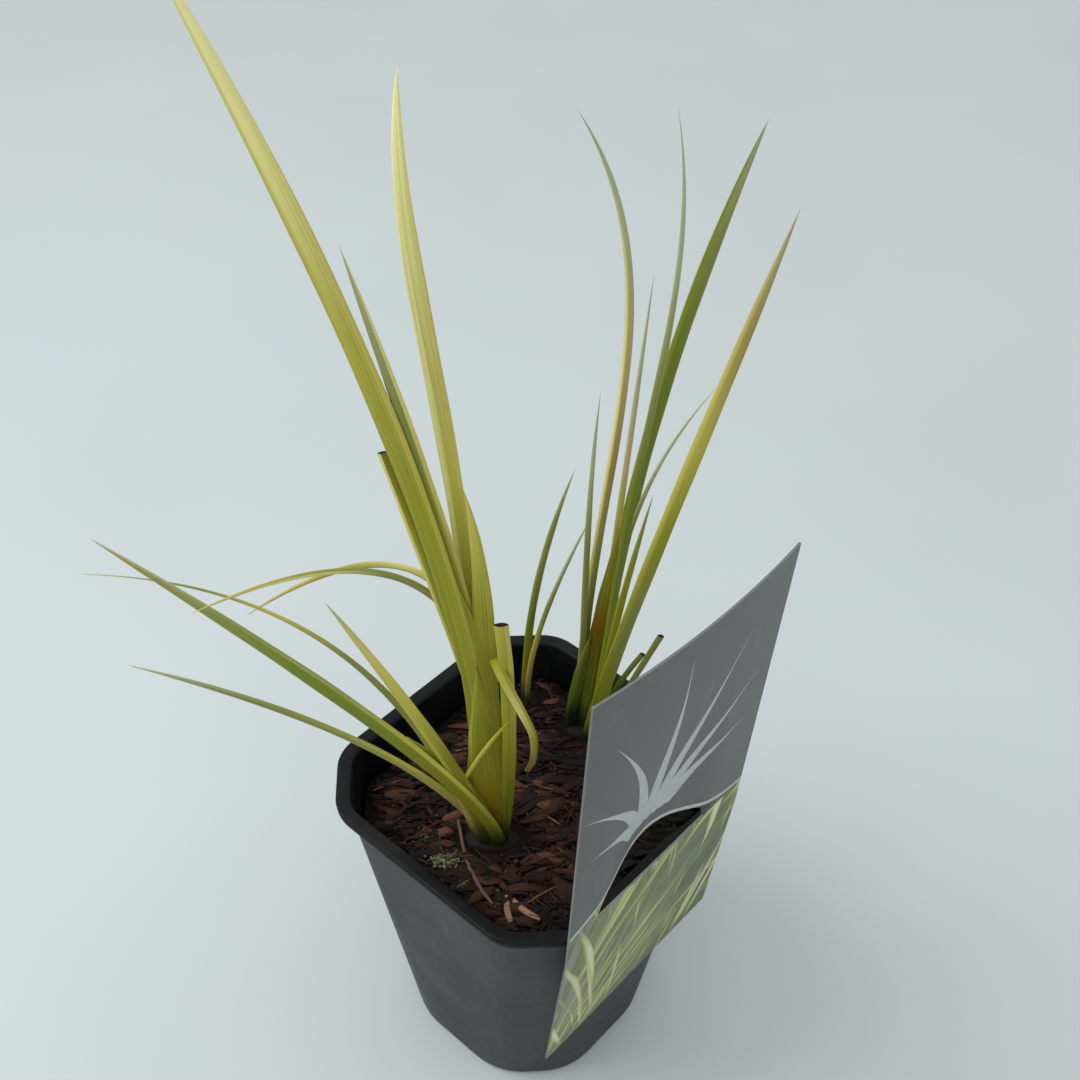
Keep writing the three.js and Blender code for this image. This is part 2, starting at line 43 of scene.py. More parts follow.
Y_AXIS = Vector((0, 1, 0))
Z_AXIS = Vector((0, 0, 1))

# Camera, fitted to the outline of the pot, the card and the leaves
CAMERA_PLACE = (0.9, -260, 422)
CAMERA_PITCH_DOWN = 0.738
CAMERA_ROLL = 0.021
CAMERA_LENS = 50

# Lamp
LAMP_PLACE = (-520, -60, 820)
LAMP_TARGET = (0, 0, 120)

# Pot: a soft octagon. Rim and base give half width, corner cut and bend radius.
POT_HEIGHT = 99
POT_TURN = math.radians(48.9)
RIM = (45, 14.8, 13)
BASE = (32, 15.7, 21)
WALL = 1
LIP_OVERHANG = 3.2
LIP_DEPTH = 2.1
LIP_SHAVE = 0.04
FLOOR = 1.4
FOOT_ROUNDING = 1.2
DRAIN_RADIUS = 3.5
DRAIN_CIRCLE = 22
DRAIN_COUNT = 8
DRAIN_SIDES = 32
BEND_STEPS = 10

# Soil. Each rootstock gives its middle and its half length and width.
FIT_GAP = 0.3
SOIL_LEVEL = 86
SOIL_RELIEF = 1.3
SOIL_REACH = 48
GROUND_RINGS = 90
CHIP_COUNT = 470
FIBRE_COUNT = 620
CRUMB_COUNT = 1500
HOLE_DEPTH = 17
STUB_SIDES = 28
# Painted shade on the soil behind the card starts and is full at these depths towards the card's side.
SHADE_START = 26
SHADE_FULL = 32
ROOTSTOCKS = ((-10.5, -12, 8.5, 4.4), (16.5, 28.5, 7.5, 4.2), (-1, 38, 3.2, 2.6))

# Card. Over the tongue's hinge its upper part is pressed in towards the plant.
CARD_WIDTH = 69
CARD_ABOVE_RIM = 97
CARD_BELOW_RIM = 52
CARD_THICKNESS = 0.6
CARD_SIDE_SHIFT = -3.8
CARD_LEAN_OUT = math.radians(3.6)
CARD_LEAN_IN = math.radians(5.9)
CARD_BOW = 2.3
CARD_TWIST = 1.2
CARD_DENT = 4
DENT_END = 80
TONGUE_WIDTH = 42
TONGUE_LENGTH = 12
TONGUE_SIDE_SHIFT = -3
HINGE_RISE = 9
LINE_LIFT = 0.8
LINE_RISE = 12.4
LINE_REACH = 37.5
CARD_COLUMNS = 56
LOW_ROWS = 20
HIGH_ROWS = 44
ARCH_STEPS = 40

# Leaves
ROOT_HEIGHT = 80
FOOT_LENGTH = 0.3
# Painted shade on the leaves' feet: full below the first height, gone above the second.
FOOT_SHADE_FULL_BELOW = 87.5
FOOT_SHADE_GONE_ABOVE = 100
BLADE_STEPS = 72
BLADE_SIDES = 16


def lerp(a, b, part):
    return a + (b - a) * part


def clamp01(value):
    return min(max(value, 0.0), 1.0)


def smoothstep(value, low, high):
    part = clamp01((value - low) / (high - low))
    return part * part * (3 - 2 * part)


def circle(count):
    """Cosine and sine of angles evenly spaced once round."""
    angles = [2 * math.pi * k / count for k in range(count)]
    return [(math.cos(angle), math.sin(angle)) for angle in angles]


def tint(red, green, blue):
    """A colour as seen on a screen, 0 to 255, as the linear colour that a shader takes."""
    channels = []
    for value in (red, green, blue):
        part = value / 255
        channels.append(part / 12.92 if part <= 0.04045 else ((part + 0.055) / 1.055) ** 2.4)
    return (*channels, 1)


# Materials

class Shader:
    """A node material in the making. Each method adds one node and gives back its output."""

    def __init__(self, name, **constants):
        self.material = bpy.data.materials.new(name)
        self.material.use_nodes = True
        self.tree = self.material.node_tree
        self.surface = self.tree.nodes["Principled BSDF"]
        for socket, value in constants.items():
            self.surface.inputs[socket.replace("_", " ")].default_value = value

    def feed(self, socket, value):
        if isinstance(value, bpy.types.NodeSocket):
            self.tree.links.new(value, socket)
        else:
            socket.default_value = value

    def add(self, kind, output, inputs, **settings):
        node = self.tree.nodes.new(kind)
        for key, value in settings.items():
            setattr(node, key, value)
        for key, value in inputs.items():
            self.feed(node.inputs[key], value)
        return node.outputs[output]

    def math(self, operation, a, b=0.0):
        return self.add("ShaderNodeMath", 0, {0: a, 1: b}, operation=operation)

    def plus(self, a, b):
        return self.math("ADD", a, b)

    def minus(self, a, b):
        return self.math("SUBTRACT", a, b)

    def times(self, a, b):
        return self.math("MULTIPLY", a, b)

    def place(self):
        """Where a point is on the piece, in metres in the shared frame"""
        return self.add("ShaderNodeTexCoord", "Object", {})

    def surface_place(self):
        """The two coordinates that the mesh carries for each point"""
        flat = self.add("ShaderNodeUVMap", 0, {}, uv_map="Surface")
        first = self.add("ShaderNodeSeparateXYZ", 0, {0: flat})
        return first, first.node.outputs[1]

    def vector(self, x, y, z=0.0):
        return self.add("ShaderNodeCombineXYZ", 0, {0: x, 1: y, 2: z})

    def stretch(self, vector, factors):
        return self.add("ShaderNodeMapping", 0, {"Vector": vector, "Scale": factors})

    def noise(self, vector, scale, detail=3.0, roughness=0.55):
        inputs = {"Vector": vector, "Scale": scale, "Detail": detail, "Roughness": roughness}
        return self.add("ShaderNodeTexNoise", 0, inputs)

    def span(self, value, low, high, to_low=0.0, to_high=1.0):
        inputs = {0: value, 1: low, 2: high, 3: to_low, 4: to_high}
        return self.add("ShaderNodeMapRange", 0, inputs, interpolation_type="SMOOTHSTEP")

    def mix(self, factor, a, b, blend="MIX"):
        inputs = {0: factor, 6: a, 7: b}
        return self.add("ShaderNodeMix", 2, inputs, data_type="RGBA", blend_type=blend)

    def ramp(self, value, stops):
        """Colours, as seen on a screen, at places along a value"""
        node = self.tree.nodes.new("ShaderNodeValToRGB")
        elements = node.color_ramp.elements
        while len(elements) < len(stops):
            elements.new(0.5)
        for element, (position, color) in zip(elements, stops):
            element.position = position
            element.color = tint(*color)
        self.feed(node.inputs[0], value)
        return node.outputs[0]

    def tone(self):
        """The tone that the mesh carries for each chip, crumb or fibre"""
        return self.add("ShaderNodeAttribute", "Fac", {}, attribute_name="tone")

    def finish(self, color, roughness=None, height=None, depth=0.1, strength=1.0):
        self.feed(self.surface.inputs["Base Color"], color)
        if roughness is not None:
            self.feed(self.surface.inputs["Roughness"], roughness)
        if height is not None:
            inputs = {"Height": height, "Distance": depth * MM, "Strength": strength}
            self.feed(self.surface.inputs["Normal"], self.add("ShaderNodeBump", 0, inputs))
        return self.material


def pot_plastic(name, low, high, pale_amount, gloss):
    """Thin black polypropylene, faintly clouded, with fine scratches, and paler in clouds towards the top.
    """
    shader = Shader(name, Specular_IOR_Level=gloss)
    place = shader.place()
    cloud = shader.noise(place, 38, 4)
    fine = shader.noise(place, 900, 2)
    rubbed = shader.noise(shader.stretch(place, (1, 1, 0.12)), 420, 3)
    body = shader.ramp(cloud, [(0.25, low), (0.75, high)])
    height = shader.add("ShaderNodeSeparateXYZ", 2, {0: place})
    pale_top = shader.times(shader.span(height, 0.06, 0.1), shader.span(cloud, 0.45, 0.75, 0, pale_amount))
    top_paled = shader.mix(pale_top, body, tint(88, 84, 78))
    color = shader.mix(shader.span(rubbed, 0.55, 0.75, 0, pale_amount), top_paled, tint(84, 87, 90))
    roughness = shader.span(cloud, 0.2, 0.8, 0.4, 0.58)
    return shader.finish(color, roughness, shader.plus(fine, rubbed), 0.03, 0.5)


def soil_ground():
    """Moist peat between the bark: almost black, with red-brown grains, and painted shade behind the card.
    """
    shader = Shader("soil_ground", Specular_IOR_Level=0.15)
    place = shader.place()
    grain = shader.noise(place, 700, 6, 0.7)
    patch = shader.noise(place, 90, 3)
    color = shader.ramp(grain, [(0.3, (8, 4, 3)), (0.55, (22, 11, 8)), (0.8, (48, 26, 18))])
    color = shader.mix(shader.span(patch, 0.4, 0.7, 0, 0.6), color, tint(12, 7, 6))
    # Painted shade: towards the card's side of the pot the soil darkens to near black.
    facing = (math.sin(POT_TURN), -math.cos(POT_TURN), 0)
    depth = shader.add("ShaderNodeVectorMath", 1, {0: place, 1: facing}, operation="DOT_PRODUCT")
    shade = shader.span(depth, SHADE_START * MM, SHADE_FULL * MM, 0, 0.9)
    color = shader.mix(shade, color, tint(4, 4, 4))
    return shader.finish(color, shader.span(grain, 0.2, 0.8, 0.7, 0.95), grain, 0.6)


def bark(name, stops):
    """Shredded bark and fibre: grain along each piece, and each piece in its own tone."""
    shader = Shader(name, Specular_IOR_Level=0.2)
    along, across = shader.surface_place()
    tone = shader.tone()
    grain = shader.noise(shader.vector(shader.times(along, 3), across, tone), 9, 5, 0.65)
    speck = shader.noise(shader.place(), 1100, 3)
    shade = shader.plus(tone, shader.times(shader.minus(grain, 0.5), 0.6))
    color = shader.ramp(shade, stops)
    color = shader.mix(shader.span(speck, 0.5, 0.75, 0, 0.5), color, tint(14, 8, 7))
    return shader.finish(color, shader.span(grain, 0.2, 0.8, 0.55, 0.85), grain, 0.25)


def moss():
    """Soft moss and algae, duller towards the low tones."""
    shader = Shader("moss", Specular_IOR_Level=0.2)
    grain = shader.noise(shader.place(), 900, 4)
    shade = shader.times(shader.plus(shader.tone(), grain), 0.5)
    color = shader.ramp(shade, [(0.25, (20, 30, 22)), (0.5, (58, 66, 42)), (0.75, (122, 126, 92))])
    return shader.finish(color, shader.span(grain, 0.2, 0.8, 0.65, 0.9), grain, 0.3)


# Colours of the leaves, as seen on a screen
PALETTE = {
    "deep": (36, 54, 14),
    "green": (92, 108, 34),
    "grass": (118, 132, 42),
    "olive": (98, 99, 18),
    "amber": (122, 92, 14),
    "golden": (130, 127, 30),
    "lime": (148, 151, 42),
    "lemon": (184, 177, 76),
    "straw": (206, 193, 108),
    "cream": (230, 222, 150),
    "ivory": (242, 236, 178),
    "sage": (142, 147, 82),
    "mist": (178, 182, 146),
    "tan": (172, 152, 90),
    "rose": (194, 177, 128),
}


def leaf_stops(names):
    """Named colours as stops, evenly spaced from the root to the tip."""
    words = names.split()
    return [(k / (len(words) - 1), PALETTE[word]) for k, word in enumerate(words)]


def leaf(name, body, left=None, right=None, seed=0.0, blotch=0.2):
    """A leaf's skin: veins and colour streaks run along it, and painted shade darkens its foot towards the
    soil.
    """
    shader = Shader(name, Specular_IOR_Level=0.16)
    across, along = shader.surface_place()
    lane = shader.noise(shader.vector(shader.times(across, 9), along, seed), 2.2, 3)
    veins = shader.noise(shader.vector(shader.times(across, 60), along, seed), 1.6, 3)
    drift = shader.times(shader.minus(lane, 0.5), 0.42)
    shifted = shader.plus(across, drift)
    color = shader.ramp(along, leaf_stops(body))
    if left:
        share, names = left
        margin = shader.ramp(along, leaf_stops(names))
        color = shader.mix(shader.span(shifted, share - 0.08, share + 0.08, 1, 0), color, margin)
    if right:
        share, names = right
        margin = shader.ramp(along, leaf_stops(names))
        color = shader.mix(shader.span(shifted, 0.92 - share, 1.08 - share), color, margin)
    color = shader.mix(shader.span(lane, 0.56, 0.68, 0, 0.22), color, tint(212, 208, 140))
    color = shader.mix(shader.span(lane, 0.44, 0.32, 0, 0.4), color, tint(78, 100, 30))
    streak = shader.ramp(veins, [(0.28, (208, 212, 180)), (0.5, (242, 243, 232)), (0.72, (255, 255, 250))])
    color = shader.mix(0.85, color, streak, "MULTIPLY")
    stained = shader.noise(shader.vector(shader.times(across, 2.5), along, seed + 3.1), 11, 4, 0.6)
    stain = shader.times(shader.span(stained, 0.58, 0.74), blotch)
    color = shader.mix(stain, color, tint(140, 108, 50))
    place = shader.place()
    height = shader.add("ShaderNodeSeparateXYZ", 2, {0: place})
    # Painted shade: near the soil the leaf darkens to a deep green.
    foot = shader.span(height, FOOT_SHADE_FULL_BELOW * MM, FOOT_SHADE_GONE_ABOVE * MM, 0.94, 0)
    color = shader.mix(foot, color, tint(20, 36, 20))
    relief = shader.plus(veins, shader.times(shader.noise(place, 1500, 2), 0.25))
    return shader.finish(color, shader.span(lane, 0.25, 0.75, 0.42, 0.6), relief, 0.12, 0.7)


def scratched(shader, place, color, amount):
    """Hairline scratches, mostly upright, on the card's film."""
    rubbed = shader.noise(shader.stretch(place, (1, 1, 0.15)), 300, 2)
    return shader.mix(shader.span(rubbed, 0.6, 0.8, 0, amount), color, tint(150, 152, 150))


def card_film(name, low, high, scale, scratch=0.0):
    """Printed or bare plastic film with a faint mottle and scratches."""
    shader = Shader(name, Specular_IOR_Level=0.3)
    place = shader.place()
    mottle = shader.noise(place, scale, 5, 0.65)
    color = scratched(shader, place, shader.ramp(mottle, [(0.3, low), (0.7, high)]), scratch)
    return shader.finish(color, shader.span(mottle, 0.2, 0.8, 0.38, 0.52), mottle, 0.02, 0.4)


def card_front():
    """The card's printed face: a grey panel over a picture of long striped blades, parted by an arch, with
    painted shade right of the tongue's cut.
    """
    shader = Shader("card_front", Specular_IOR_Level=0.3)
    x, y = shader.surface_place()

    def fan(centre_x, centre_y, curl, lanes, seed):
        dx = shader.minus(x, centre_x)
        dy = shader.minus(y, centre_y)
        squares = shader.plus(shader.times(dx, dx), shader.times(dy, dy))
        radius = shader.math("SQRT", squares)
        angle = shader.plus(shader.math("ARCTAN2", dy, dx), shader.times(radius, curl))
        lane = shader.times(angle, lanes)
        return shader.noise(shader.vector(lane, shader.times(radius, 0.2), seed), 1, 2, 0.45)

    drift = shader.noise(shader.vector(x, y, 7.0), 0.7, 3)
    side = shader.plus(shader.times(x, 0.13), drift)
    color = shader.ramp(side, [(0.15, (134, 131, 124)), (0.5, (130, 136, 100)), (0.85, (88, 96, 76))])
    layers = (
        (fan(-3.0, -8.5, 0.03, 19, 1.0), 0.46, [(0.46, (78, 86, 54)), (0.6, (116, 124, 80))]),
        (fan(-3.8, -7.2, 0.05, 17, 4.0), 0.5,
         [(0.48, (112, 120, 62)), (0.58, (158, 164, 96)), (0.68, (190, 193, 138))]),
        (fan(-2.2, -9.8, -0.03, 23, 8.0), 0.55,
         [(0.53, (130, 136, 78)), (0.63, (182, 184, 130)), (0.72, (206, 206, 168))]),
    )
    for blades, edge, stops in layers:
        color = shader.mix(shader.span(blades, edge, edge + 0.08), color, shader.ramp(blades, stops))
    low = shader.plus(y, shader.times(drift, 0.6))
    color = shader.mix(shader.span(low, -4.7, -4.2, 0.55, 0), color, tint(84, 92, 66))
    # Painted shade: a dark wedge over the hinge, right of the tongue's cut, going on from the dark seen
    # through the window.
    over_hinge = shader.span(y, HINGE_RISE / 10 - 0.06, HINGE_RISE / 10 + 0.02)
    right_of_tongue = shader.span(x, 1.1, 1.6, 0, 0.85)
    color = shader.mix(shader.times(over_hinge, right_of_tongue), color, tint(28, 32, 28))
    place = shader.place()
    mottle = shader.noise(place, 240, 5, 0.65)
    grey = shader.ramp(mottle, [(0.3, (86, 87, 86)), (0.7, (99, 100, 98))])
    grey = scratched(shader, place, grey, 0.12)
    shift = shader.minus(x, TONGUE_SIDE_SHIFT / 10)
    wave = shader.math("COSINE", shader.times(shift, math.pi * 10 / LINE_REACH))
    arch = shader.times(shader.plus(wave, 1), LINE_RISE / 20)
    height = shader.minus(y, shader.plus(arch, (HINGE_RISE + LINE_LIFT) / 10))
    color = shader.mix(shader.span(height, -0.02, 0.02), color, grey)
    return shader.finish(color, shader.span(mottle, 0.2, 0.8, 0.38, 0.5), mottle, 0.02, 0.4)


def floor_matte():
    shader = Shader("floor_matte", Roughness=0.7, Specular_IOR_Level=0.2)
    soft = shader.noise(shader.place(), 6, 2)
    return shader.finish(shader.ramp(soft, [(0.3, (186, 193, 194)), (0.7, (190, 197, 198))]))


# Meshes

class Skin:
    """Points and faces of one piece. Each point has a place on its surface and a tone."""

    def __init__(self):
        self.points = []
        self.faces = []
        self.places = []
        self.tones = []
        self.kinds = []

    def loft(self, rings, places=None, tone=0.5, kind=0, end_kind=None):
        """A closed skin over rings of equal counts; a ring of one point is a tip."""
        starts = []
        for index, ring in enumerate(rings):
            starts.append(len(self.points))
            self.points.extend(ring)
            self.places.extend(places[index] if places else [(0.5, 0.5)] * len(ring))
            self.tones.extend([tone] * len(ring))
        first_face = len(self.faces)
        for k in range(len(rings) - 1):
            low, high = rings[k], rings[k + 1]
            count = max(len(low), len(high))
            for i in range(count):
                step = (i + 1) % count
                corners = [starts[k]] if len(low) == 1 else [starts[k] + i, starts[k] + step]
                corners += [starts[k + 1]] if len(high) == 1 else [starts[k + 1] + step, starts[k + 1] + i]
                self.faces.append(tuple(corners))
        for ring, start, flip in ((rings[0], starts[0], True), (rings[-1], starts[-1], False)):
            if len(ring) > 2:
                corners = range(start, start + len(ring))
                self.faces.append(tuple(reversed(corners)) if flip else tuple(corners))
        self.kinds.extend([kind] * (len(self.faces) - first_face))
        if end_kind is not None:
            self.kinds[-1] = end_kind

    def build(self, name, materials, crease=40):
        mesh = bpy.data.meshes.new(name)
        mesh.from_pydata([Vector(point) * MM for point in self.points], [], self.faces)
        for material in materials:
            mesh.materials.append(material)
        mesh.polygons.foreach_set("material_index", self.kinds)
        layer = mesh.uv_layers.new(name="Surface")
        for loop in mesh.loops:
            layer.data[loop.index].uv = self.places[loop.vertex_index]
        tones = mesh.attributes.new("tone", "FLOAT", "POINT")
        tones.data.foreach_set("value", self.tones)
        straighten(mesh)
        mesh.polygons.foreach_set("use_smooth", [True] * len(mesh.polygons))
        mesh.set_sharp_from_angle(angle=math.radians(crease))
        return link(name, mesh)


def straighten(mesh):
    """Turns every face outwards."""
    work = bmesh.new()
    work.from_mesh(mesh)
    bmesh.ops.recalc_face_normals(work, faces=work.faces)
    work.to_mesh(mesh)
    work.free()


def link(name, data):
    thing = bpy.data.objects.new(name, data)
    bpy.context.scene.collection.objects.link(thing)
    return thing


def hand_over(piece, node=None):
    """Gives the finished piece its body, and hides the node that it stands in for."""
    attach(piece, "root")
    if node:
        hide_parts(node)


def carve(piece, cutter, crease=40):
    """Takes the cutter's volume out of the piece for good and removes the cutter."""
    cut = piece.modifiers.new("cut", "BOOLEAN")
    cut.operation = "DIFFERENCE"
    cut.solver = "EXACT"
    cut.object = cutter
    bpy.context.view_layer.update()
    result = bpy.data.meshes.new_from_object(piece.evaluated_get(bpy.context.evaluated_depsgraph_get()))
    piece.modifiers.clear()
    piece.data = result
    result.set_sharp_from_angle(angle=math.radians(crease))
    bpy.data.objects.remove(cutter)


def paint(mesh, choose):
    """Gives each face the material that is chosen by its middle, in millimetres, and its normal."""
    for face in mesh.polygons:
        face.material_index = choose(face.center / MM, face.normal)


# Pot

def inset(size, distance):
    """The octagon drawn in by a distance."""
    half_width, corner_cut, bend_radius = size
    return half_width - distance, corner_cut - (2 - math.sqrt(2)) * distance, bend_radius - distance


def octagon(size, z):
    half_width, corner_cut, bend_radius = size
    straight = half_width - corner_cut - bend_radius * math.tan(math.pi / 8)
    centres = ((half_width - bend_radius, straight), (straight, half_width - bend_radius))
    ring = []
    for quarter in range(4):
        turn = Matrix.Rotation(POT_TURN + quarter * math.pi / 2, 3, "Z")
        for bend, (cx, cy) in enumerate(centres):
            for step in range(BEND_STEPS + 1):
                angle = (bend + step / BEND_STEPS) * math.pi / 4
                point = Vector((cx + bend_radius * math.cos(angle), cy + bend_radius * math.sin(angle), z))
                ring.append(turn @ point)
    return ring


WALL_TOP = inset(RIM, LIP_OVERHANG)
LIP_BOTTOM = POT_HEIGHT - LIP_DEPTH


def wall_size(z):
    return tuple(lerp(low, high, z / LIP_BOTTOM) for low, high in zip(BASE, WALL_TOP))


def rounded(corner_in, corner_up, radius, start, end, steps=5):
    """Points (distance drawn in from the rim, height) of a small arc of the lip."""
    points = []
    for step in range(steps + 1):
        angle = math.radians(lerp(start, end, step / steps))
        points.append((corner_in - radius * math.cos(angle), corner_up + radius * math.sin(angle)))
    return points


def make_pot():
    profile = [(inset(BASE, FOOT_ROUNDING), 0)]
    for step in range(1, 6):
        angle = math.pi / 2 * step / 5
        drawn_in = FOOT_ROUNDING * (1 - math.sin(angle))
        z = FOOT_ROUNDING * 1.5 * (1 - math.cos(angle))
        profile.append((inset(wall_size(z), drawn_in), z))
    for z in (12, 24, 36, 48, 60, 72, 84, 92, 95, LIP_BOTTOM + 1.1):
        profile.append((wall_size(z), z))
    for drawn_in, up in ((1.6, 1.1), (0.9, 0.9), (0.8, 0.25), (0.6, 0), (0.2, 0)):
        profile.append((inset(RIM, drawn_in), LIP_BOTTOM + up))
    for drawn_in, z in rounded(0.7 + LIP_SHAVE, POT_HEIGHT - 0.7, 0.7, 0, 90):
        profile.append((inset(RIM, drawn_in), z))
    inner_edge = LIP_OVERHANG + WALL
    for drawn_in, z in rounded(inner_edge - 1.2, POT_HEIGHT - 1.2, 1.2, 90, 180):
        profile.append((inset(RIM, min(drawn_in, inner_edge)), z))
    for z in (95, 90, 84, 72, 60, 48, 36, 24, 12, FLOOR + FOOT_ROUNDING):
        profile.append((inset(wall_size(z), WALL), z))
    profile.append((inset(wall_size(FLOOR), WALL + FOOT_ROUNDING), FLOOR))
    skin = Skin()
    skin.loft([octagon(size, z) for size, z in profile])
    outside = pot_plastic("pot_wall", (32, 34, 36), (41, 43, 45), 0.2, 0.4)
    # The lip and the inside take a darker, duller copy of the same plastic: painted shade on them.
    inside = pot_plastic("pot_lip_and_inside_painted_shade", (7, 8, 9), (13, 14, 16), 0.05, 0.15)
    pot = skin.build("pot_shell", [outside, inside])
    holes = Skin()
    for k in range(DRAIN_COUNT):
        angle = POT_TURN + (k + 0.5) * 2 * math.pi / DRAIN_COUNT
        centre = Vector((DRAIN_CIRCLE * math.cos(angle), DRAIN_CIRCLE * math.sin(angle), 0))
        edge = [centre + Vector((a, b, 0)) * DRAIN_RADIUS for a, b in circle(DRAIN_SIDES)]
        holes.loft([[point - Z_AXIS * 2 for point in edge], [point + Z_AXIS * 4 for point in edge]])
    carve(pot, holes.build("drain_cutter", []))

    # Faces of the lip and the inside take the copy with painted shade.
    def lip_or_inside(middle, normal):
        return int(middle.z > LIP_BOTTOM - 0.2 or normal.x * middle.x + normal.y * middle.y < 0)

    paint(pot.data, lip_or_inside)
    hand_over(pot, "pot")


# Soil

def near_rootstock(x, y):
    distances = []
    for cx, cy, along_x, along_y in ROOTSTOCKS:
        reach = math.hypot((x - cx) / along_x, (y - cy) / along_y)
        distances.append((reach - 1) * along_y)
    return min(distances)


def soil_height(x, y):
    broad = math.sin(0.16 * x + 0.7) * math.cos(0.13 * y - 0.4)
    lumps = math.sin(0.83 * x + 0.31 * y) * math.cos(0.71 * y - 0.42 * x + 1.1)
    crumbs = math.sin(1.9 * x - 1.2 * y + 2) * math.sin(1.6 * y + 0.9 * x)
    calm = smoothstep(near_rootstock(x, y), 0, 4)
    return SOIL_LEVEL + SOIL_RELIEF * calm * (0.5 * broad + 0.5 * lumps + 0.35 * crumbs)


def on_soil(x, y, lift):
    return Vector((x, y, soil_height(x, y) + lift))


def inside_pot(x, y, margin):
    half_width, corner_cut, _ = inset(wall_size(SOIL_LEVEL), WALL + margin)
    turned = Matrix.Rotation(-POT_TURN, 2) @ Vector((x, y))
    across = max(abs(turned.x), abs(turned.y))
    return across < half_width and abs(turned.x) + abs(turned.y) < 2 * half_width - corner_cut


def make_ground():
    bottom = FLOOR + FIT_GAP
    edge_top = SOIL_LEVEL - 1.5
    rings = []
    for drawn_in, z in ((FOOT_ROUNDING, bottom), (0, bottom + FOOT_ROUNDING), (0, edge_top)):
        rings.append(octagon(inset(wall_size(z), WALL + FIT_GAP + drawn_in), z))
    outline = rings[-1]
    for k in range(GROUND_RINGS):
        scale = 0.99 - 0.98 * k / GROUND_RINGS
        ring = []
        for point in outline:
            x, y = point.x * scale, point.y * scale
            rough = noise.fractal(Vector((x, y, 3.0)) * 0.55, 0.8, 2.1, 4)
            ring.append(Vector((x, y, soil_height(x, y) - 0.3 + 0.7 * rough)))
        rings.append(ring)
    skin = Skin()
    skin.loft(rings)
    hand_over(skin.build("soil_ground", [soil_ground()], crease=180), "soil")


def slab(skin, middle, size, turn, lean, tone, draw, bend=0.0, stations=6):
    """One chip or fibre: a lumpy slab that thins towards both ends. Lean is its tilt and its roll."""
    length, width, thick = size
    tilt, roll = lean
    along = Vector((math.cos(turn) * math.cos(tilt), math.sin(turn) * math.cos(tilt), math.sin(tilt)))
    side = Z_AXIS.cross(along).normalized()
    side.rotate(Matrix.Rotation(roll, 3, along))
    through = along.cross(side)
    rings = []
    places = []
    sections = ((1, -0.3), (0.8, 0.75), (0, 1), (-0.8, 0.7), (-1, -0.25), (0, -0.9))
    for k in range(stations):
        u = k / (stations - 1)
        full = (1 - abs(2 * u - 1) ** 3) * 0.75 + 0.25
        arc = bend * (1 - (2 * u - 1) ** 2)
        centre = middle + along * (u - 0.5) * length + through * arc
        jitter = draw.uniform(-0.14, 0.14) * width
        ring = []
        for a, b in sections:
            offset = side * (a * width / 2 * full * draw.uniform(0.8, 1.15) + jitter)
            ring.append(centre + offset + through * (b * thick / 2 * full * draw.uniform(0.75, 1.2)))
        rings.append(ring)
        places.append([(u * length * 0.1 + tone * 7, (a + 1) * width * 0.12) for a, b in sections])
    skin.loft(rings, places, tone)


def shaded(x, y, tone):
    """The tone of a chip, darkened by painted shade: the soil behind the card lies in the card's shade."""
    depth = x * math.sin(POT_TURN) - y * math.cos(POT_TURN)
    return tone * (1 - 0.9 * smoothstep(depth, SHADE_START, SHADE_FULL))


def scatter(draw, margin, clearance):
    """A place on the soil, clear of the pot's wall and the rootstocks."""
    while True:
        x = draw.uniform(-SOIL_REACH, SOIL_REACH)
        y = draw.uniform(-SOIL_REACH, SOIL_REACH)
        if inside_pot(x, y, margin) and near_rootstock(x, y) > clearance:
            return x, y


def make_bark():
    draw = random.Random(41)
    chips = Skin()
    for _ in range(CHIP_COUNT):
        length = draw.triangular(4, 14, 7)
        size = (length, draw.uniform(1.6, 3.6), draw.uniform(0.9, 1.8))
        x, y = scatter(draw, 1.4 + length * 0.45, 0.5 + length * 0.25)
        middle = on_soil(x, y, draw.uniform(-0.4, 0.5))
        lean = (draw.gauss(0, 0.12), draw.gauss(0, 0.3))
        turn = draw.gauss(0, 0.35)
        tone = shaded(x, y, draw.betavariate(2, 2.6))
        slab(chips, middle, size, turn, lean, tone, draw, draw.uniform(-0.3, 0.6))
    stops = [(0.1, (10, 5, 4)), (0.4, (30, 14, 10)), (0.65, (54, 27, 19)), (0.9, (98, 62, 48))]
    hand_over(chips.build("bark_chips", [bark("bark_chip", stops)], crease=60))
    fibres = Skin()
    for _ in range(FIBRE_COUNT):
        length = draw.uniform(4, 12)
        size = (length, draw.uniform(0.3, 0.9), draw.uniform(0.25, 0.5))
        x, y = scatter(draw, 0.9 + length / 2, 0.3 + length * 0.25)
        middle = on_soil(x, y, draw.uniform(-0.1, 0.8))
        lean = (draw.gauss(0, 0.1), draw.gauss(0, 0.5))
        turn = draw.gauss(0, 0.6)
        tone = shaded(x, y, draw.betavariate(2, 2.6))
        slab(fibres, middle, size, turn, lean, tone, draw, draw.uniform(-0.3, 0.9), 5)
    stops = [(0.1, (14, 7, 6)), (0.4, (38, 19, 14)), (0.7, (70, 40, 30)), (0.95, (128, 94, 74))]
    hand_over(fibres.build("bark_fibres", [bark("bark_fibre", stops)], crease=60))


def lump(skin, middle, radius, tone, draw):
    """A small crumb: a rough ball, a little flattened."""
    rings = [[middle - Z_AXIS * radius * 0.7]]
    sides = 6
    for k in range(1, 4):
        polar = math.pi * k / 4
        flat = math.sin(polar)
        ring = []
        for i in range(sides):
            angle = 2 * math.pi * (i + 0.5 * (k % 2)) / sides
            direction = Vector((flat * math.cos(angle), flat * math.sin(angle), -math.cos(polar) * 0.75))
            ring.append(middle + direction * radius * draw.uniform(0.7, 1.2))
        rings.append(ring)
    skin.loft(rings + [[middle + Z_AXIS * radius * 0.7]], None, tone)


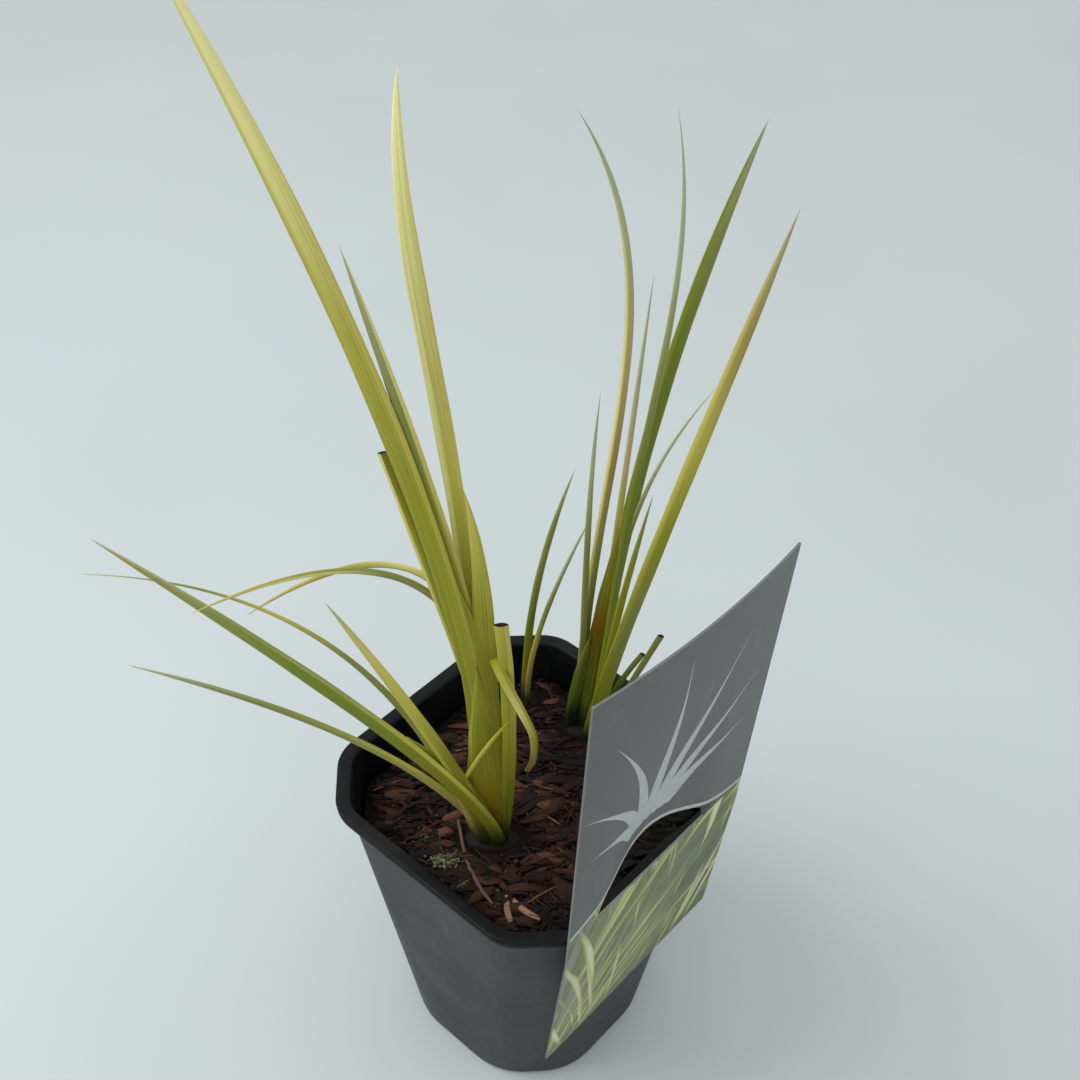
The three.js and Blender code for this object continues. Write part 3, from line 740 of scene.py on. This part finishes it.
def make_crumbs():
    draw = random.Random(7)
    crumbs = Skin()
    for _ in range(CRUMB_COUNT):
        radius = draw.triangular(0.25, 1.3, 0.4)
        x, y = scatter(draw, 0.6 + radius, 0.1 + radius * 0.8)
        middle = on_soil(x, y, draw.uniform(-0.2, 0.5))
        lump(crumbs, middle, radius, shaded(x, y, draw.betavariate(2, 3)), draw)
    stops = [(0.1, (10, 5, 4)), (0.5, (28, 14, 10)), (0.9, (70, 42, 32))]
    hand_over(crumbs.build("soil_crumbs", [bark("soil_crumb", stops)], crease=50))


# Moss patches: middle, spread, count, tone
MOSS_PATCHES = (
    ((-22.5, -20), (1.9, 1.0), 240, 0.7),
    ((-16, -30), (3.5, 2.4), 50, 0.1),
    ((-29, -14), (2.2, 2.2), 30, 0.25),
)


def make_moss():
    draw = random.Random(19)
    tufts = Skin()
    for (cx, cy), (spread_x, spread_y), count, tone in MOSS_PATCHES:
        for _ in range(count):
            x, y = draw.gauss(cx, spread_x), draw.gauss(cy, spread_y)
            if inside_pot(x, y, 1.2):
                middle = on_soil(x, y, draw.uniform(0.5, 1.2))
                lump(tufts, middle, draw.uniform(0.25, 0.65), clamp01(draw.gauss(tone, 0.15)), draw)
    hand_over(tufts.build("moss_patch", [moss()], crease=50))


# Dry straws: width, tone and route
STRAWS = (
    (1.1, 0.35, ((-20, -7), (-17, -20), (-13, -29), (-9.5, -34))),
    (1.7, 0.8, ((-6, -31), (-5.5, -36), (-4.6, -39.5))),
    (1.7, 0.85, ((-5, -31), (-1, -36), (3, -38.5))),
)


def curve_through(points, steps):
    """Points along a smooth curve through the given ones."""
    ends = [points[0] * 2 - points[1], *points, points[-1] * 2 - points[-2]]
    result = []
    for k in range(len(points) - 1):
        a, b, c, d = ends[k:k + 4]
        for step in range(steps):
            t = step / steps
            square = (2 * a - 5 * b + 4 * c - d) * t * t
            cube = (3 * b - a - 3 * c + d) * t ** 3
            result.append(0.5 * (2 * b + (c - a) * t + square + cube))
    result.append(points[-1])
    return result


def strip(skin, path, width_at, thick, facing=Z_AXIS, tone=0.5, kind=0, sides=10):
    """A flat band along a path, with rounded edges. Its width follows its length from 0 to 1."""
    rings = []
    places = []
    for index, middle in enumerate(path):
        u = index / (len(path) - 1)
        along = (path[min(index + 1, len(path) - 1)] - path[max(index - 1, 0)]).normalized()
        across = along.cross(facing).normalized()
        through = along.cross(across)
        half = width_at(u) / 2
        rings.append([middle + across * (a * half) + through * (b * thick / 2) for a, b in circle(sides)])
        places.append([((a + 1) / 2, u) for a, _ in circle(sides)])
    skin.loft(rings, places, tone, kind)


def make_straws():
    skin = Skin()
    for width, tone, route in STRAWS:
        points = [on_soil(x, y, 1.2) for x, y in route]

        def width_at(u, width=width):
            return width * (0.4 + 0.6 * math.sin(math.pi * lerp(0.08, 0.92, u)) ** 0.5)

        strip(skin, curve_through(points, 9), width_at, 0.8, tone=tone)
    stops = [(0.3, (104, 80, 74)), (0.6, (126, 98, 84)), (0.9, (158, 120, 94))]
    hand_over(skin.build("straws", [bark("straw", stops)], crease=60))


# Leaves

class Leaf(NamedTuple):
    """A leaf runs from its root to a tip that lies reach away towards heading, and height over the soil.
    On its way it rises by bow and swings aside by sway, most at bend_at of its length. Body names its
    colours from root to tip. A margin gives its share of the width, then its own colours."""
    root: tuple
    heading: float
    reach: float
    height: float
    width: float
    body: str
    foot: float = 0
    thick: float = 1
    bow: float = 0
    sway: float = 0
    bend_at: float = 0.5
    fullness: float = 5
    cut_end: bool = False
    left: tuple = None
    right: tuple = None


def leaf_spine(shape):
    """The leaf's middle line as a function of 0 at the root to 1 at the tip."""
    x, y, z = (*shape.root, ROOT_HEIGHT)[:3]
    heading = math.radians(shape.heading)
    side = Vector((-math.sin(heading), math.cos(heading), 0))
    start = Vector((x, y, z))
    reach = shape.reach
    tip = Vector((x + reach * math.cos(heading), y + reach * math.sin(heading), SOIL_LEVEL + shape.height))
    chord = tip - start
    up = chord.cross(side).normalized()
    if up.z < 0:
        up.negate()
    skew = math.log(0.5) / math.log(shape.bend_at)

    def spine(u):
        v = u ** skew
        lift = 4 * v * (1 - v)
        return start + chord * u + up * (lift * shape.bow) + side * (lift * shape.sway)

    return spine


def blade(skin, shape, kind):
    """A flattened spear with thin edges and a little wave. A cut end shows its brown section."""
    spine = leaf_spine(shape)
    phase = shape.heading + shape.reach
    section = [(a, math.copysign(abs(b) ** 1.4, b)) for a, b in circle(BLADE_SIDES)]
    rings = []
    places = []
    for k in range(BLADE_STEPS + 1):
        u = k / BLADE_STEPS
        if k == BLADE_STEPS and not shape.cut_end:
            rings.append([spine(1)])
            places.append([(0.5, 1)])
            break
        along = (spine(min(u + 0.01, 1)) - spine(max(u - 0.01, 0))).normalized()
        across = along.cross(-Y_AXIS).normalized()
        across.rotate(Matrix.Rotation(0.05 * math.sin(9 * u + phase), 3, along))
        through = along.cross(across)
        taper = 1 if shape.cut_end else 1 - u ** shape.fullness
        wave = 1 + 0.025 * math.sin(31 * u + phase) * smoothstep(u, 0.1, 0.3)
        width = lerp(shape.foot or shape.width, shape.width, smoothstep(u, 0, FOOT_LENGTH))
        half = width / 2 * taper * wave
        depth = shape.thick / 2 * max(math.sqrt(taper), 0.35)
        middle = spine(u)
        rings.append([middle + across * (a * half) + through * (b * depth) for a, b in section])
        places.append([((a + 1) / 2, u) for a, _ in section])
    skin.loft(rings, places, 0.5, kind, 0 if shape.cut_end else None)


# Each leaf: root, heading, reach, height, width and body, then what sets it apart
FRONT_LEAVES = {
    "tall": Leaf((-10.8, -11.2), 168.1, 60.8, 237.9, 5, "olive golden lime lime lemon cream ivory",
        thick=1.5, bow=14.8, sway=0.8, bend_at=0.46, fullness=10,
        left=(0.25, "olive golden lime lemon cream"), right=(0.25, "golden lime lemon straw ivory")),
    "second": Leaf((-10.4, -11.5, 104), 169.3, 29.6, 181.6, 4, "olive golden lime sage mist", foot=4.5,
        bow=5, sway=-2.4, bend_at=0.36, left=(0.2, "golden lime sage"),
        right=(0.28, "golden lemon straw cream")),
    "cream": Leaf((-9.4, -8.9, 108), 143.3, 22.4, 214.3, 4.3, "olive golden lime lemon straw cream ivory",
        foot=5, bow=2.5, sway=6.2, bend_at=0.85, fullness=11, left=(0.3, "golden lime cream cream ivory"),
        right=(0.2, "golden lemon straw cream")),
    "cut_left": Leaf((-15.2, -10.3, 112), 165, 19.4, 129.2, 2.4, "olive golden lime lime golden", foot=3,
        bow=6.9, sway=0.9, bend_at=0.15, cut_end=True, left=(0.35, "golden lime straw cream")),
    "sheath": Leaf((-8.6, -11.5), 137.5, 10.8, 118.4, 6.2, "olive golden golden lime straw", foot=3,
        thick=2.2, bow=3.9, sway=0.8, bend_at=0.8, right=(0.3, "golden lime lemon")),
    "inner": Leaf((-9.2, -11.5), 165, 11.8, 98, 8, "olive olive golden golden lime lime", foot=4.5,
        thick=2.6, bow=4, left=(0.2, "golden lime lemon")),
    "outer": Leaf((-9.8, -12), 168.5, 9, 80, 6, "olive golden golden lime", foot=4, thick=2.4, bow=1.5,
        sway=-0.7, bend_at=0.61, right=(0.3, "golden lemon golden")),
    "broad": Leaf((-9.8, -12.6), 165, 4.2, 68, 12.4, "amber amber golden golden lime", foot=3.6, thick=3.6,
        fullness=2.2, left=(0.25, "golden golden lime"), right=(0.2, "olive golden lime")),
    "thin_upper": Leaf((-13.5, -11, 142), 171, 58, 74, 2.2, "lime lime straw cream lemon straw tan", bow=20,
        sway=-14.5, bend_at=0.44, left=(0.3, "golden lime sage")),
    "thin_lower": Leaf((-13.5, -11, 137), 190, 65, 95, 2.2, "golden lime sage sage cream cream tan", bow=22,
        sway=-11, bend_at=0.44, right=(0.3, "golden sage straw")),
    "crossing": Leaf((-18.6, -13.4, 109.6), -22.4, 13.8, 56.3, 1.4, "golden lemon lemon lime", bow=0.6),
    "cut_right": Leaf((-7.8, -13, 84), 270, 0.8, 85, 3.6, "olive olive golden lime lime lemon", foot=3,
        thick=1.4, sway=2, cut_end=True, right=(0.3, "olive golden lemon straw")),
    "left_long": Leaf((-10.6, -13.4, 82), 173.1, 94.4, 99, 4.8, "golden golden grass grass sage tan",
        foot=4, thick=1.2, bow=14.4, sway=3.1, bend_at=0.3, right=(0.25, "golden lemon sage sage mist")),
    "left_low": Leaf((-10.6, -13.4, 82), 185.4, 84.8, 76.7, 2.8, "golden tan sage sage mist", foot=3.2,
        bow=11.8, sway=-1.1, bend_at=0.41, right=(0.3, "golden lemon sage mist")),
    "left_short": Leaf((-11.2, -12.4, 84), 173.6, 38.8, 85.6, 3.8, "olive golden golden lemon straw mist",
        foot=3.4, bow=6, sway=3, bend_at=0.39, left=(0.3, "golden lemon straw")),
    "left_far": Leaf((-11.5, -12.5, 84), 171.1, 101, 82.3, 2.8, "golden lemon sage sage straw sage mist",
        foot=3.2, bow=19.7, sway=-9.1, bend_at=0.54, fullness=1.6),
    "left_sheath": Leaf((-11, -13.3), 174.4, 21.5, 41, 8.4, "olive olive golden golden lime", foot=3.4,
        thick=2.8, bow=5.5, sway=0.5, fullness=3, left=(0.25, "tan tan lemon")),
}

RIGHT_LEAVES = {
    "curved": Leaf((14, 29), 139, 10, 191, 2.4, "olive green sage tan rose mist mist", foot=3.6, bow=6,
        sway=-12, bend_at=0.73, fullness=7, left=(0.3, "golden lemon cream cream mist")),
    "slim": Leaf((18, 28), -51, 13, 201, 2, "golden lime grass grass sage mist mist", foot=4, bow=-5,
        sway=2, bend_at=0.8),
    "green": Leaf((17, 28), -8, 29, 195, 3.7, "olive golden grass grass grass sage mist", foot=5.5,
        thick=1.2, bow=6, sway=10, fullness=8, left=(0.25, "lime lime grass")),
    "tan": Leaf((20, 29), -23, 36, 180, 3.8, "golden lime sage lime lemon tan mist", foot=5, bow=3,
        sway=-11, bend_at=0.25, fullness=7, left=(0.3, "golden lime lemon straw rose")),
    "rosy": Leaf((16, 29), 35, 12, 151, 1.8, "golden golden lime lemon rose mist mist", foot=4),
    "straight": Leaf((13.4, 30), -73, 4, 124, 1.8, "olive green sage sage mist mist", foot=2.8, sway=-1,
        bend_at=0.7),
    "arching": Leaf((18, 28), 10.8, 25.6, 121.3, 1.5, "olive green lime golden mist mist", foot=4, bow=9.5,
        sway=1.3, bend_at=0.62),
    "short": Leaf((18, 28), -36, 13, 97, 2.2, "olive golden lime lime sage", foot=4, sway=-4, bend_at=0.45),
    "outer_short": Leaf((14.1, 28.6), -8, 1.2, 38, 3.8, "deep deep green green golden", foot=3.6, bow=3.2,
        sway=-0.6, bend_at=0.22, left=(0.25, "deep green sage")),
    "fan_base": Leaf((16.2, 29), 23.7, 5.9, 75.8, 8.6, "deep green olive amber golden golden", foot=7,
        thick=2.8, bow=0.6, sway=-0.6, bend_at=0.54, fullness=3, right=(0.25, "olive lime lemon")),
    "stub_long": Leaf((18, 28), -26.9, 17.7, 47.6, 1.9, "deep green sage sage", foot=2, cut_end=True),
    "stub_short": Leaf((17, 27), -20.7, 13.4, 38, 1.8, "deep deep green sage", foot=2, bow=1.7, sway=-0.5,
        cut_end=True),
}

BACK_LEAVES = {
    "back_green": Leaf((-2, 38), 9.5, 12, 89, 2.2, "sage golden grass sage sage mist", foot=3, bow=4.4),
    "back_tan": Leaf((-0.5, 38.5), -15, 16, 78.7, 1.6, "tan tan lemon sage mist mist", bow=4.5, sway=-6,
        bend_at=0.45),
}

# The bent dead strap
STRAP_BODY = "lime lemon cream lemon tan tan"
STRAP_MARGIN = (0.3, "golden lemon lime tan")
STRAP_TOP_WIDTH = 3
STRAP_END_WIDTH = 1.5
STRAP_THICKNESS = 0.9
STRAP_ROUTE = (
    (-9.4, -12.6, 158), (-6.8, -15.5, 153), (-2.8, -16, 143), (0.2, -14.5, 132), (0.3, -11, 119),
    (-1.2, -6, 108),
)


def rootstock(skin, place):
    """The flattened stub under a clump, mostly in the soil."""
    x, y, along_x, along_y = place
    bottom = SOIL_LEVEL - HOLE_DEPTH + FIT_GAP
    rings = []
    for grow, z in ((-1.2, bottom), (0, bottom + 3), (0, SOIL_LEVEL - 0.8), (-1.4, SOIL_LEVEL + 0.6)):
        half_x, half_y = along_x + grow, along_y + grow
        rings.append([Vector((x + half_x * a, y + half_y * b, z)) for a, b in circle(STUB_SIDES)])
    skin.loft(rings)


def make_clump(name, leaves, place, node, with_strap=False):
    skin = Skin()
    stub = bark(name + "_stub", [(0.2, (9, 6, 5)), (0.5, (22, 14, 10)), (0.8, (44, 30, 20))])
    materials = [stub]
    rootstock(skin, place)
    for key, shape in leaves.items():
        seed = len(materials) * 1.7
        materials.append(leaf("leaf_" + key, shape.body, shape.left, shape.right, seed))
        blade(skin, shape, len(materials) - 1)
    if with_strap:
        materials.append(leaf("leaf_strap", STRAP_BODY, STRAP_MARGIN, seed=9.3, blotch=0.45))
        path = curve_through([Vector(point) for point in STRAP_ROUTE], 10)
        strip(skin, path, lambda u: lerp(STRAP_TOP_WIDTH, STRAP_END_WIDTH, u), STRAP_THICKNESS, -Y_AXIS,
              kind=len(materials) - 1, sides=12)
    hand_over(skin.build(name, materials, crease=50), node)


# Card

OUT = Vector((math.sin(POT_TURN), -math.cos(POT_TURN), 0))
ALONG = Vector((math.cos(POT_TURN), math.sin(POT_TURN), 0))
CARD_OUT = RIM[0] + 2 * FIT_GAP + CARD_THICKNESS / 2
FOLD_HEIGHT = POT_HEIGHT + FIT_GAP + CARD_THICKNESS / 2
HINGE_HEIGHT = FOLD_HEIGHT + HINGE_RISE * math.cos(CARD_LEAN_OUT)
HINGE_OUT = CARD_OUT + HINGE_RISE * math.sin(CARD_LEAN_OUT)


def card_dent(across, rise):
    off_centre = (across - TONGUE_SIDE_SHIFT) / (TONGUE_WIDTH / 2 + 2)
    if rise <= HINGE_RISE or abs(off_centre) >= 1:
        return 0
    left = 1 - smoothstep(rise, HINGE_RISE + TONGUE_LENGTH, DENT_END)
    return CARD_DENT * (1 - off_centre ** 2) ** 2 * left


def card_point(across, rise, lift=0.0):
    """A point of the card: across its width, up from the fold, and out from its middle layer."""
    lean = CARD_LEAN_OUT if rise > 0 else CARD_LEAN_IN
    edge = 2 * across / CARD_WIDTH
    bend = CARD_BOW * (0.4 - edge * edge) + CARD_TWIST * edge
    warp = max(rise, 0) / CARD_ABOVE_RIM * bend
    out = CARD_OUT + rise * math.sin(lean) + warp + lift - card_dent(across, rise)
    up = Vector((0, 0, FOLD_HEIGHT + rise * math.cos(lean)))
    return up + OUT * out + ALONG * (CARD_SIDE_SHIFT + across)


def make_card():
    half = CARD_THICKNESS / 2
    above_hinge = HINGE_RISE + CARD_THICKNESS
    rises = [lerp(-CARD_BELOW_RIM, HINGE_RISE, k / LOW_ROWS) for k in range(LOW_ROWS + 1)]
    rises += [lerp(above_hinge, CARD_ABOVE_RIM, k / HIGH_ROWS) for k in range(HIGH_ROWS + 1)]
    spots = [CARD_WIDTH * (k / CARD_COLUMNS - 0.5) for k in range(CARD_COLUMNS + 1)]
    rings = []
    places = []
    for rise in rises:
        front = [card_point(across, rise, half) for across in spots]
        back = [card_point(across, rise, -half) for across in reversed(spots)]
        rings.append(front + back)
        places.append([(across / 10, rise / 10) for across in spots + spots[::-1]])
    skin = Skin()
    skin.loft(rings, places)
    edge = card_film("card_edge", (98, 100, 98), (112, 114, 111), 320)
    back = card_film("card_back", (186, 188, 185), (200, 202, 199), 320)
    sheet = skin.build("picture_card", [edge, card_front(), back], crease=30)
    middle = ALONG * (CARD_SIDE_SHIFT + TONGUE_SIDE_SHIFT) + Z_AXIS * HINGE_HEIGHT
    arch = []
    for k in range(ARCH_STEPS + 1):
        angle = math.pi * k / ARCH_STEPS
        arch.append((TONGUE_WIDTH / 2 * math.cos(angle), TONGUE_LENGTH * math.sin(angle)))
    window = Skin()
    window.loft([[middle + OUT * out + ALONG * a + Z_AXIS * b for a, b in arch]
                 for out in (CARD_OUT - 15, CARD_OUT + 15)])
    carve(sheet, window.build("window_cutter", []), crease=30)

    def side_of_card(middle, normal):
        outward = normal.dot(OUT)
        if outward > 0.7:
            return 1
        return 2 if outward < -0.7 else 0

    paint(sheet.data, side_of_card)
    hand_over(sheet, "label_card")


def make_tongue():
    """The flap cut from the card: it slants from its hinge in over the lip and down behind the wall."""
    wall_face = inset(wall_size(POT_HEIGHT), WALL + FIT_GAP + CARD_THICKNESS / 2)[0]
    clear = FOLD_HEIGHT + 2 * FIT_GAP
    corners = ((HINGE_OUT, HINGE_HEIGHT - CARD_THICKNESS / 2),
               (lerp(HINGE_OUT, wall_face, 0.5), lerp(HINGE_HEIGHT, clear, 0.5)),
               (wall_face + 0.4, clear), (wall_face - 0.6, clear - 2.4))
    half = CARD_THICKNESS / 2
    length = 0
    rings = []
    for index, (out, z) in enumerate(corners):
        before = corners[max(index - 1, 0)]
        after = corners[min(index + 1, len(corners) - 1)]
        length += math.hypot(out - before[0], z - before[1])
        run = Vector((after[0] - before[0], after[1] - before[1])).normalized()
        side = TONGUE_WIDTH / 2 * math.sqrt(1 - min(length / TONGUE_LENGTH, 0.98) ** 2)
        ring = []
        for a, b in ((-side, -half), (side, -half), (side, half), (-side, half)):
            place = OUT * (out - b * run.y) + ALONG * (CARD_SIDE_SHIFT + TONGUE_SIDE_SHIFT + a)
            ring.append(place + Z_AXIS * (z + b * run.x))
        rings.append(ring)
    skin = Skin()
    skin.loft(rings)
    # Near black: the flap's dark print with painted shade, as the flap lies in the dark behind the window.
    flap_print_and_shade = card_film("card_flap_print_and_shade", (8, 9, 10), (20, 24, 21), 120, 0.03)
    hand_over(skin.build("card_tongue", [flap_print_and_shade], crease=60))


def print_stroke(skin, points, width_at):
    """A printed stroke: a film that lies on the card along a line of (across, rise) points."""
    base, top = CARD_THICKNESS / 2 - 0.02, CARD_THICKNESS / 2 + 0.05
    shares = (-1, -0.5, 0, 0.5, 1)
    rings = []
    for index, (across, rise) in enumerate(points):
        x0, y0 = points[max(index - 1, 0)]
        x1, y1 = points[min(index + 1, len(points) - 1)]
        run = Vector((x1 - x0, y1 - y0)).normalized()
        half = width_at(index / (len(points) - 1)) / 2
        spots = [(across + run.y * half * share, rise - run.x * half * share) for share in shares]
        face = [card_point(*spot, top) for spot in spots]
        rings.append(face + [card_point(*spot, base) for spot in reversed(spots)])
    skin.loft(rings)


# Printed tuft: lean and length of each stroke
TUFT = ((-1.35, 24), (-0.95, 40), (-0.5, 54), (0.0, 62), (0.5, 58), (0.95, 44), (1.35, 30))
TUFT_FOOT = (-4, 27)
TUFT_SPREAD = 5
STROKE_STEPS = 30
LINE_STEPS = 64


def panel_line(across):
    """How high over the fold the line runs that parts the card's two panels."""
    swell = 1 + math.cos(math.pi * (across - TONGUE_SIDE_SHIFT) / LINE_REACH)
    return HINGE_RISE + LINE_LIFT + LINE_RISE / 2 * swell


def make_print():
    """A pale tuft of arching blades on the grey panel, and the line between the two panels."""
    skin = Skin()
    for lean, length in TUFT:
        across, rise = TUFT_FOOT[0] + lean * TUFT_SPREAD, TUFT_FOOT[1]
        points = [(across, rise)]
        for k in range(1, STROKE_STEPS + 1):
            angle = lean * (0.25 + 0.95 * k / STROKE_STEPS)
            across += math.sin(angle) * length / STROKE_STEPS
            rise += math.cos(angle) * length / STROKE_STEPS
            points.append((across, rise))
        print_stroke(skin, points, lambda u: 5.2 * (0.35 + 0.65 * math.sin(math.pi * u ** 0.6)) * (1.02 - u))
    edge = CARD_WIDTH / 2 - 0.3
    stations = [lerp(-edge, edge, k / LINE_STEPS) for k in range(LINE_STEPS + 1)]
    print_stroke(skin, [(across, panel_line(across)) for across in stations], lambda u: 1.3)
    ink = card_film("card_ink", (164, 167, 164), (184, 187, 184), 420)
    hand_over(skin.build("card_print", [ink], crease=60))


# Floor, light and camera

def make_stage():
    mesh = bpy.data.meshes.new("floor")
    reach = 6.0
    drop = -0.0002
    corners = [(a * reach, b * reach, drop) for a, b in ((-1, -1), (1, -1), (1, 1), (-1, 1))]
    mesh.from_pydata(corners, [], [(0, 1, 2, 3)])
    mesh.materials.append(floor_matte())
    link("floor", mesh)


def make_light():
    data = bpy.data.lights.new("key_light", "AREA")
    data.shape = "DISK"
    data.size = 0.6
    data.energy = 4
    lamp = link("key_light", data)
    lamp.location = Vector(LAMP_PLACE) * MM
    aim = Vector(LAMP_TARGET) * MM - lamp.location
    lamp.rotation_euler = aim.to_track_quat("-Z", "Y").to_euler()
    world = bpy.data.worlds.new("studio")
    bpy.context.scene.world = world
    world.use_nodes = True
    sky = world.node_tree.nodes["Background"].inputs
    sky["Color"].default_value = (0.97, 0.99, 1.0, 1)
    sky["Strength"].default_value = 0.95
    bpy.context.scene.view_settings.view_transform = "Standard"


def make_camera():
    data = bpy.data.cameras.new("camera")
    data.lens = CAMERA_LENS
    data.sensor_width = 36
    data.clip_start = 0.01
    camera = link("camera", data)
    place = Matrix.Translation(Vector(CAMERA_PLACE) * MM)
    pitch = Matrix.Rotation(math.pi / 2 - CAMERA_PITCH_DOWN, 4, "X")
    camera.matrix_world = place @ pitch @ Matrix.Rotation(CAMERA_ROLL, 4, "Z")
    bpy.context.scene.camera = camera


make_camera()
make_pot()
make_ground()
make_bark()
make_crumbs()
make_moss()
make_straws()
make_clump("front_leaves", FRONT_LEAVES, ROOTSTOCKS[0], "front_clump", with_strap=True)
make_clump("right_leaves", RIGHT_LEAVES, ROOTSTOCKS[1], "right_clump")
make_clump("back_leaves", BACK_LEAVES, ROOTSTOCKS[2], "back_shoot")
make_card()
make_tongue()
make_print()
make_stage()
make_light()

bpy.context.view_layer.update()
